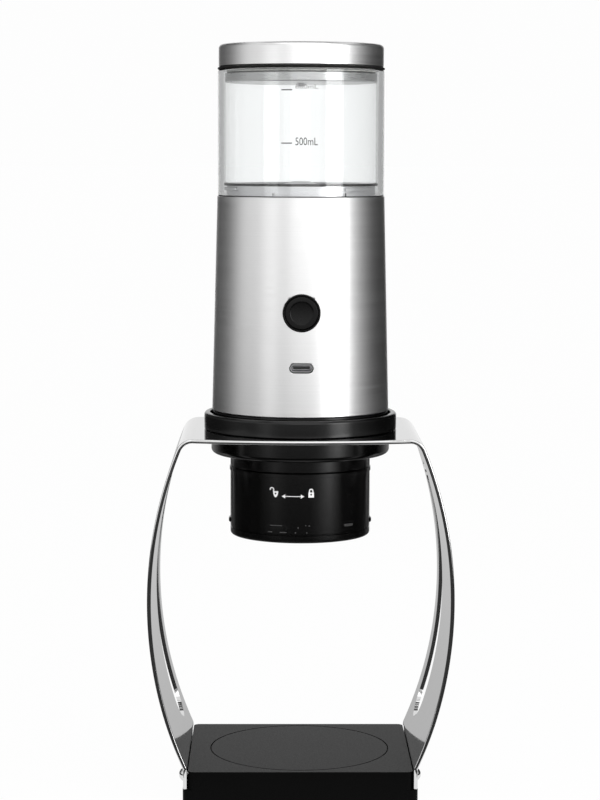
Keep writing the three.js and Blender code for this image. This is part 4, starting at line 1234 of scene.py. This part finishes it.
class AddLid(Operator):
    """Lid: brushed steel cap, seal, core and the steel plug under it"""

    bl_idname = "maker.add_lid"
    bl_label = "Lid"

    soft = 0.25 * MM

    def execute(self, context):
        sizes = context.scene.maker_tank
        self.add_cap(sizes)
        self.add_seal(sizes)
        self.add_core()
        self.add_skirt(sizes)
        return {"FINISHED"}

    def add_cap(self, sizes):
        outer, low, high = round_node("lid_cap")
        wall, edge, soft = sizes.lid_wall, sizes.lid_round, self.soft
        outline = [
            (0, high),
            *arc(outer - edge, high - edge, edge, 90, 0, 10),
            (outer, low + soft),
            (outer - soft, low),
            (outer - wall, low),
            (outer - wall, high - wall),
            (0, high - wall),
        ]
        finish_piece(turn(outline), "lid", "lid", "brushed_steel", ["lid_cap"])

    def add_seal(self, sizes):
        outer, low, high = round_node("lid_seal")
        inner = radius_of("lid_core") + FIT
        seal = turn(ring_outline(inner, outer, low, high, sizes.seal_round))
        finish_piece(seal, "lid_seal_ring", "lid", "rubber", ["lid_seal"])

    def add_core(self):
        radius, low, high = round_node("lid_core")
        soft = self.soft
        side = [(radius - soft, low), (radius, low + soft), (radius, high)]
        core = turn([(0, low), *side, (0, high)])
        finish_piece(core, "lid_plug_core", "lid", "black_plastic", ["lid_core"], "silicone")

    def add_skirt(self, sizes):
        outer, low, high = round_node("lid_skirt")
        wall, edge, hole = sizes.skirt_wall, 0.6 * MM, 1.5 * MM
        outline = [
            (hole, low),
            *arc(outer - edge, low + edge, edge, -90, 0, 5),
            *arc(outer - wall / 2, high - wall / 2, wall / 2, 0, 180),
            (outer - wall, low + wall),
            (hole, low + wall),
            (hole, low),
        ]
        skirt = turn(outline)
        finish_piece(skirt, "lid_plug_skirt", "lid", "brushed_steel", ["lid_skirt"], "dim_steel")


# Holder


class AddHolder(Operator):
    """Black holder that twists on to the neck, with its lip, groove, grips and raised bits"""

    bl_idname = "maker.add_holder"
    bl_label = "Holder"

    def execute(self, context):
        sizes = context.scene.maker_holder
        outer, low = radius_of("group_head"), bottom_of("holder_sleeve")
        self.add_sleeve(sizes, outer, low)
        self.add_grips(sizes, outer, low)
        self.add_raised(outer, low)
        return {"FINISHED"}

    def add_sleeve(self, sizes, outer, low):
        collar_wall, basket_step, ledge_lift = 1.2 * MM, 2.1 * MM, 18.7 * MM
        soft = 0.12 * MM
        top = bottom_of("group_head") - FIT
        inner, shoulder = outer - sizes.wall, top - sizes.shoulder
        collar, collar_top = radius_of("filter_basket") + FIT, top_of("holder_sleeve")
        basket, ledge = collar - basket_step, bottom_of("filter_basket") + ledge_lift
        groove = low + sizes.groove_lift
        groove_top, floor = groove + sizes.groove_width, outer - sizes.groove_depth
        lip, lip_bottom = outer + sizes.lip, top - sizes.lip_height
        outline = [
            (basket, shoulder),
            (inner, shoulder),
            (inner, low),
            *arc(outer - sizes.edge, low + sizes.edge, sizes.edge, -90, 0, 8),
            (outer, groove - soft),
            (outer - soft, groove),
            (floor, groove + soft),
            (floor, groove_top - soft),
            (outer - soft, groove_top),
            (outer, groove_top + soft),
            (outer, lip_bottom),
            (lip - soft, lip_bottom),
            (lip, lip_bottom + soft),
            (lip, top - soft),
            (lip - soft, top),
            (collar + collar_wall, top),
            (collar + collar_wall, collar_top),
            (collar, collar_top),
            (collar, ledge),
            (basket, ledge),
            (basket, shoulder),
        ]
        finish_piece(turn(outline), "holder", "holder", "black_plastic", ["holder_sleeve"])

    def add_grips(self, sizes, outer, low):
        """Small rounded grips at the two sides."""
        middle = low + sizes.grip_lift
        tall, wide, edge = 2 * MM, 5 * MM, 0.2 * MM
        root, tip = outer - sizes.wall / 2, outer + sizes.grip_proud
        half_out = outer + sizes.grip_proud / 2
        section = [
            (root, middle - tall / 2),
            (half_out, middle - tall / 2),
            (tip, middle - tall / 4),
            (tip, middle + tall / 4),
            (half_out, middle + tall / 2),
            (root, middle + tall / 2),
        ]
        for name, way in (("right", 0), ("left", math.pi)):
            grip = wedge(section, way, wide / outer)
            bevel(grip, edge, 3)
            finish_piece(grip, f"holder_grip_{name}", "holder", "black_plastic")

    def add_raised(self, outer, low):
        """Oval boss at the front left, small ribs and dots moulded round it, and a catch. The
        ribs, the dots, the catch and a thin rib along the boss's top edge are a lighter grey that
        paints their highlights.
        """
        # Every row but the boss has a lighter grey look that paints the highlights these raised
        # bits catch, and the thin rib on the boss's top edge is there only for its painted
        # highlight.
        # Name, place across, lift, half of the straight part, half height, reach, in mm, and look
        rows = [
            ("holder_boss", -10.1, 5.8, 3.2, 1.7, 0.5, "gloss_black"),
            ("holder_boss_highlight_rib", -9.8, 7.3, 2.4, 0.14, 0.6, "painted_highlight_grey"),
            ("holder_rib_1", -12.2, 4.6, 0.8, 0.2, 0.6, "painted_highlight_grey"),
            ("holder_rib_2", -7.1, 4.6, 1.2, 0.2, 0.6, "painted_highlight_grey"),
            ("holder_dot_1", -1.1, 6.5, 0.0, 0.3, 0.3, "painted_highlight_grey"),
            ("holder_dot_2", -2.2, 4.5, 0.1, 0.25, 0.3, "painted_highlight_grey"),
            ("holder_dot_3", 2.0, 7.4, 0.0, 0.25, 0.3, "painted_highlight_grey"),
            ("holder_dot_4", 3.4, 7.3, 0.0, 0.3, 0.3, "painted_highlight_grey"),
            ("holder_dot_5", 2.4, 4.5, 0.0, 0.25, 0.3, "painted_highlight_grey"),
            ("holder_catch", 19.4, 6.7, 1.9, 0.5, 0.5, "painted_highlight_grey"),
        ]
        for name, across, lift, spread, tall, proud, look in rows:
            place = (across * MM, low + lift * MM)
            self.raise_oval(name, place, spread * MM, tall * MM, outer, proud * MM, look)

    def raise_oval(self, name, place, spread, tall, outer, proud, look):
        """A bit of the holder's side, with round ends, that stands out a little."""
        x, z = place
        sunk, deep, soft = MM, 3 * MM, 0.1 * MM
        way = Vector((x, -math.sqrt(outer**2 - x**2), 0)).normalized()
        across = Vector((-way.y, way.x, 0))
        foot = Vector((0, 0, z))
        band = ring_outline(outer - sunk, outer + proud, z - tall * 2, z + tall * 2, soft)
        piece = turn(band)
        start, end = foot + way * (outer - deep), foot + way * (outer + deep)
        carve(piece, [long_hole(tall, spread, start, end, across)], "INTERSECT")
        bevel(piece, min(0.4 * MM, tall * 0.5), 4)
        finish_piece(piece, name, "holder", "black_plastic", look=look)


class AddBasket(Operator):
    """Steel filter basket inside the holder, and the outlet spout under it"""

    bl_idname = "maker.add_basket"
    bl_label = "Basket and spout"

    def execute(self, context):
        self.add_basket()
        self.add_spout()
        return {"FINISHED"}

    def add_basket(self):
        rim, low, high = round_node("filter_basket")
        wall, edge, soft = 0.8 * MM, 1.2 * MM, 0.2 * MM
        side = rim - 3 * wall + FIT
        inside = side - wall
        outline = [
            (0, low),
            *arc(side - edge, low + edge, edge, -90, 0),
            (side, high - wall),
            *arc(rim - wall / 2, high - wall / 2, wall / 2, -90, 90),
            (inside + soft, high),
            (inside, high - soft),
            (inside, low + edge),
            (side - edge, low + wall),
            (0, low + wall),
        ]
        finish_piece(turn(outline), "basket", "holder", "polished_steel", ["filter_basket"])

    def add_spout(self):
        outer, low, high = round_node("holder_spout")
        floor_depth, rim = 2 * MM, 2 * MM
        nozzle, bore, soft = 4.5 * MM, 1.8 * MM, 0.4 * MM
        floor = high - floor_depth
        outline = [
            (bore, low + soft),
            (bore + soft, low),
            (nozzle - soft, low),
            (nozzle, low + soft),
            (nozzle, floor),
            (outer, floor),
            (outer, high),
            (outer - rim, high),
            (bore, floor + MM),
            (bore, low + soft),
        ]
        finish_piece(turn(outline), "spout", "holder", "black_plastic", ["holder_spout"])


class AddLockMarks(Operator):
    """Printed lock marks on the holder: open padlock, double arrow and closed padlock"""

    bl_idname = "maker.add_lock_marks"
    bl_label = "Lock marks"

    def execute(self, context):
        sizes = context.scene.maker_holder
        front = radius_of("group_head") + 5 * MM
        low, tall = sizes.mark_level - sizes.padlock_height / 2, sizes.padlock_height
        shut = self.trace(self.shut_padlock(), sizes.shut_place, low, tall, front)
        opened = self.trace(self.open_padlock(), sizes.open_place, low, tall, front)
        arrow = self.arrow(sizes, sizes.mark_level - sizes.arrow_drop, front)
        for name, mark in (("lock_mark", shut), ("unlock_mark", opened), ("turn_mark", arrow)):
            lay_on(mark, bpy.data.objects["holder"])
            finish_piece(mark, name, "holder", "print_white")
        return {"FINISHED"}

    def shut_padlock(self):
        """Outlines of a closed padlock one unit tall: its shackle, then its body's halves."""
        inner, outer, foot = 0.125, 0.24, 0.5
        bow = [*arc(0, 0.7, outer, 0, 180), (-outer, foot), (-inner, foot)]
        bow += [*arc(0, 0.7, inner, 180, 0), (inner, foot), (outer, foot)]
        side = [(0, 0), (0.29, 0), (0.29, 0.54), (0, 0.54)]
        return [bow, *self.halves(side, 0.31, 0.095)]

    def open_padlock(self):
        """Outlines of an open padlock: its shackle swings left, and its body is a shield."""
        inner, outer, foot, x, z = 0.13, 0.24, 0.55, -0.38, 0.8
        bow = [*arc(x, z, outer, 0, 205), *arc(x, z, inner, 205, 0)]
        bow += [(x + inner, foot), (x + outer, foot)]
        side = [(0, -0.05), (0.13, 0.06), (0.24, 0.3), (0.28, 0.62), (0, 0.62)]
        return [bow, *self.halves(side, 0.36, 0.09)]

    def halves(self, side, key_z, key):
        """The two halves of a padlock's body, which leave a round keyhole between them."""
        half = side + arc(0, key_z, key, 90, -90)
        return [[(x * way, z) for x, z in half] for way in (-1, 1)]

    def trace(self, outlines, place, low, tall, front):
        """One mark from outlines that are one unit tall."""
        scaled = [[(place + x * tall, low + z * tall) for x, z in line] for line in outlines]
        return self.join(*(self.flat(line, front) for line in scaled))

    def flat(self, outline, front):
        """A filled outline that faces the front."""
        draw_face([(x, -front, z) for x, z in outline])
        return close_up()

    def arrow(self, sizes, level, front):
        """A thin line with a head at each end."""
        left, right = sizes.arrow_left, sizes.arrow_right
        head, half, thin = 1.4 * MM, 0.8 * MM, 0.14 * MM
        bar = flat_strip(left + head, right - head, level - thin, level + thin, front, 10)
        heads = []
        for tip, back in ((left, left + head), (right, right - head)):
            points = [(tip, level), (back, level - half), (back, level + half)]
            heads.append(self.flat(points, front))
        return self.join(bar, *heads)

    def join(self, first, *others):
        start_fresh()
        for piece in (first, *others):
            piece.select_set(True)
        bpy.context.view_layer.objects.active = first
        bpy.ops.object.join()
        return first


class DressNodes(Operator):
    """Gives each node of the frame that still shows the finish of its slot"""

    bl_idname = "maker.dress_nodes"
    bl_label = "Inner pieces"

    def execute(self, context):
        for row in frame["record"]["subparts"]:
            node = frame["nodes"][row["node"]]
            node.material_slots[0].material = finish_named(row["material_slot"])
        return {"FINISHED"}


# Stage

SENSOR_WIDTH = 36
AIM_HEIGHT = 0.16  # the lights point at this height on the machine's axis
FLOOR_WIDTH = 80
FLOOR_GLOW = 0.97  # share of even white in a direct or mirrored view of the floor
BACKGROUND = 0.985  # white of the surroundings where they are seen
GLASS_LIFT = 0.5  # share of white that a card shows through glass

# Name, azimuth in degrees, distance, width and height, radiance, and height above the floor
LIGHTS = [
    ("key_light", 46, 0.75, (0.32, 0.6), 4.2, 0.26),
    ("wide_light", 0, 1.1, (1.15, 0.6), 0.8, 0.47),
    ("fill_light", -42, 0.75, (0.26, 0.5), 0.8, 0.26),
    ("top_light", 0, 0.35, (0.8, 0.5), 1.2, 1.0),
]

# Glow of a card: its level at directions in degrees, where 0 is the front and 90 the right
LEFT_GLOW = [(-15, 1.0), (-30, 1.0), (-43, 0.42), (-58, 0.88), (-80, 0.92), (-90, 0.64)]
LEFT_GLOW += [(-102, 0.32), (-116, 0.14), (-137, 0.08)]
RIGHT_GLOW = [(50, 1.0), (60, 0.85), (70, 0.68), (79, 0.46), (89, 0.26), (101, 0.1)]
RIGHT_GLOW += [(114, 0.036), (131, 0.02)]
LOW_GLOW = [(-160, 0.02), (-100, 0.02), (-64, 0.06), (-50, 0.3), (-40, 0.4), (-30, 0.3)]
LOW_GLOW += [(-18, 0.1), (0, 0.07), (18, 0.1), (32, 0.7), (50, 1.0), (62, 0.5)]
LOW_GLOW += [(74, 0.1), (100, 0.02), (160, 0.02)]
GROUND_GLOW = [(60, 0.04), (120, 0.03), (152, 0.1), (168, 0.6), (180, 0.6)]
GROUND_GLOW += [(-azimuth, level) for azimuth, level in GROUND_GLOW]
ROOF_GLOW = [(-90, 0.12), (90, 0.12)]

# Name, glow, first and last direction, radius, height, and whether it shows through glass
CURVED_CARDS = [
    ("left_card", LEFT_GLOW, -15, -160, 0.8, 1.1, True),
    ("right_card", RIGHT_GLOW, 50, 160, 0.8, 1.1, True),
    ("low_card", LOW_GLOW, -160, 160, 0.78, 0.075, False),
]

# Name, glow, inner and outer radius, and height of the flat cards
FLAT_CARDS = [
    ("ground_card", GROUND_GLOW, 0.1, 1.5, 0.001),
    ("roof_card", ROOF_GLOW, 0, 0.6, 1.4),
]
CARD_STEPS = 32
CARD_FOOT = 0.002  # height of a curved card's lower edge


def direction(azimuth):
    """The level way from the machine's axis at an azimuth: 0 to the front, 90 to the right."""
    way = math.radians(azimuth)
    return Vector((math.sin(way), -math.cos(way), 0))


def direct_view(tree):
    """1 for rays that see a surface directly, in gloss or through glass."""
    path = add_node(tree, "LightPath")
    total = path.outputs["Is Camera Ray"]
    for name in ("Is Glossy Ray", "Is Transmission Ray"):
        inputs = {0: total, 1: path.outputs[name]}
        total = add_node(tree, "Math", inputs, operation="MAXIMUM").outputs[0]
    return total


class AddStage(Operator):
    """Pale floor, white surroundings, soft lights, graded cards round the object, and camera"""

    bl_idname = "maker.add_stage"
    bl_label = "Stage"

    def execute(self, context):
        settings = context.scene.maker_stage
        self.add_floor()
        self.add_world(settings)
        self.add_cards()
        for light in LIGHTS:
            self.add_light(*light)
        self.add_camera(context, settings)
        context.scene.view_settings.view_transform = "Standard"
        return {"FINISHED"}

    def add_floor(self):
        start_fresh()
        bpy.ops.mesh.primitive_grid_add(x_subdivisions=8, y_subdivisions=8, size=FLOOR_WIDTH)
        floor = bpy.context.object
        floor.name = "floor"
        material, tree, shader = new_finish("pale_floor")
        shader.inputs["Roughness"].default_value = 0.8
        shader.inputs["Specular IOR Level"].default_value = 0.1
        shader.inputs["Base Color"].default_value = (0.95, 0.95, 0.95, 1)
        glow = add_node(tree, "Emission").outputs["Emission"]
        inputs = {0: direct_view(tree), 1: FLOOR_GLOW}
        part = add_node(tree, "Math", inputs, operation="MULTIPLY").outputs[0]
        mix_out(tree, "Material Output", part, shader.outputs["BSDF"], glow)
        floor.data.materials.append(material)

    def add_world(self, settings):
        """White where it is seen, and a weaker light elsewhere."""
        world = bpy.data.worlds.new("studio")
        bpy.context.scene.world = world
        world.use_nodes = True
        tree = world.node_tree
        ambient = tree.nodes["Background"]
        ambient.inputs["Color"].default_value = (1, 1, 1, 1)
        ambient.inputs["Strength"].default_value = settings.ambient
        white = add_node(tree, "Background", {"Color": (1, 1, 1, 1), "Strength": BACKGROUND})
        layers = (ambient.outputs["Background"], white.outputs["Background"])
        mix_out(tree, "World Output", direct_view(tree), *layers)

    def add_cards(self):
        """Graded cards round, over and under the object, which its steel and gloss reflect."""
        for name, glow, first, last, radius, height, in_glass in CURVED_CARDS:
            steps = [first + (last - first) * step / CARD_STEPS for step in range(CARD_STEPS + 1)]
            foot = Vector((0, 0, CARD_FOOT))
            draw_line([direction(azimuth) * radius + foot for azimuth in steps])
            pull((0, 0, height))
            self.finish_card(close_up(), name, glow, in_glass)
        for name, glow, inner, outer, height in FLAT_CARDS:
            card = turn([(inner, height), (outer, height)], sides=MIDDLE_SIDES)
            self.finish_card(card, name, glow)

    def finish_card(self, card, name, glow, in_glass=False):
        """Gives a card its glow, and hides it from everything but gloss and, maybe, glass."""
        card.name = name
        card.data.materials.append(self.graded_glow(name, glow))
        card.visible_camera = False
        card.visible_diffuse = False
        card.visible_shadow = False
        card.visible_transmission = in_glass

    def graded_glow(self, name, stops):
        """Glow that changes with the direction from the machine's axis."""
        material, tree, _ = new_finish(name)
        place = add_node(tree, "TexCoord").outputs["Object"]
        quarter_turn = (0, 0, math.pi / 2)
        mapping = add_node(tree, "Mapping", {"Vector": place, "Rotation": quarter_turn})
        inputs = {"Vector": mapping.outputs["Vector"]}
        around = add_node(tree, "TexGradient", inputs, gradient_type="RADIAL")
        ramp = add_node(tree, "ValToRGB", {"Fac": around.outputs["Fac"]})
        elements = ramp.color_ramp.elements
        stops = sorted((0.5 + azimuth / 360, level) for azimuth, level in stops)
        while len(elements) < len(stops):
            elements.new(0.5)
        for element, (position, level) in zip(elements, stops):
            element.position = position
        for element, (position, level) in zip(elements, stops):
            element.color = (*grey(level), 1)
        glow = add_node(tree, "Emission", {"Color": ramp.outputs["Color"]}).outputs["Emission"]
        white = add_node(tree, "Emission").outputs["Emission"]
        inputs = {0: add_node(tree, "LightPath").outputs["Is Transmission Ray"], 1: GLASS_LIFT}
        part = add_node(tree, "Math", inputs, operation="MULTIPLY").outputs[0]
        mix_out(tree, "Material Output", part, glow, white)
        return material

    def add_light(self, name, azimuth, distance, size, radiance, height):
        """A soft rectangular light at an azimuth, aimed at the machine's middle."""
        start_fresh()
        place = direction(azimuth) * distance
        place.z = height
        aim = Vector((0, 0, AIM_HEIGHT)) - place
        rotation = aim.to_track_quat("-Z", "Y").to_euler()
        bpy.ops.object.light_add(type="AREA", location=place, rotation=rotation)
        light = bpy.context.object
        light.name = name
        light.data.shape = "RECTANGLE"
        light.data.size, light.data.size_y = size
        light.data.energy = radiance * math.pi * size[0] * size[1]

    def add_camera(self, context, settings):
        start_fresh()
        place = direction(math.degrees(settings.azimuth)) * settings.distance
        place.z = settings.height
        bpy.ops.object.camera_add(
            location=place,
            rotation=(math.pi / 2 - settings.pitch, settings.roll, settings.azimuth),
        )
        camera = bpy.context.object
        camera.data.lens = settings.lens
        camera.data.sensor_width = SENSOR_WIDTH
        camera.data.shift_x = settings.shift
        context.scene.camera = camera


OPERATORS = [
    AddBase,
    AddStrap,
    AddStrapScrews,
    AddRings,
    AddShell,
    AddButton,
    AddPort,
    AddNeck,
    AddDeck,
    AddTank,
    AddFillMarks,
    AddLid,
    AddHolder,
    AddBasket,
    AddLockMarks,
    DressNodes,
    AddStage,
]


class MakerPanel(Panel):
    """Lists the pieces and their sizes"""

    bl_idname = "VIEW3D_PT_espresso_maker"
    bl_label = "Espresso maker"
    bl_space_type = "VIEW_3D"
    bl_region_type = "UI"
    bl_category = "Espresso maker"

    def draw(self, context):
        for operator in OPERATORS:
            self.layout.operator(operator.bl_idname)
        for name, group in GROUPS.items():
            box = self.layout.box()
            for field in group.__annotations__:
                box.prop(getattr(context.scene, name), field)


CLASSES = [*GROUPS.values(), *OPERATORS, MakerPanel]


def register():
    for cls in CLASSES:
        bpy.utils.register_class(cls)
    for name, group in GROUPS.items():
        setattr(bpy.types.Scene, name, PointerProperty(type=group))


def unregister():
    for name in GROUPS:
        delattr(bpy.types.Scene, name)
    for cls in reversed(CLASSES):
        bpy.utils.unregister_class(cls)


def main():
    register()
    for operator in OPERATORS:
        group, name = operator.bl_idname.split(".")
        getattr(getattr(bpy.ops, group), name)()
    start_fresh()


if __name__ == "__main__":
    main()
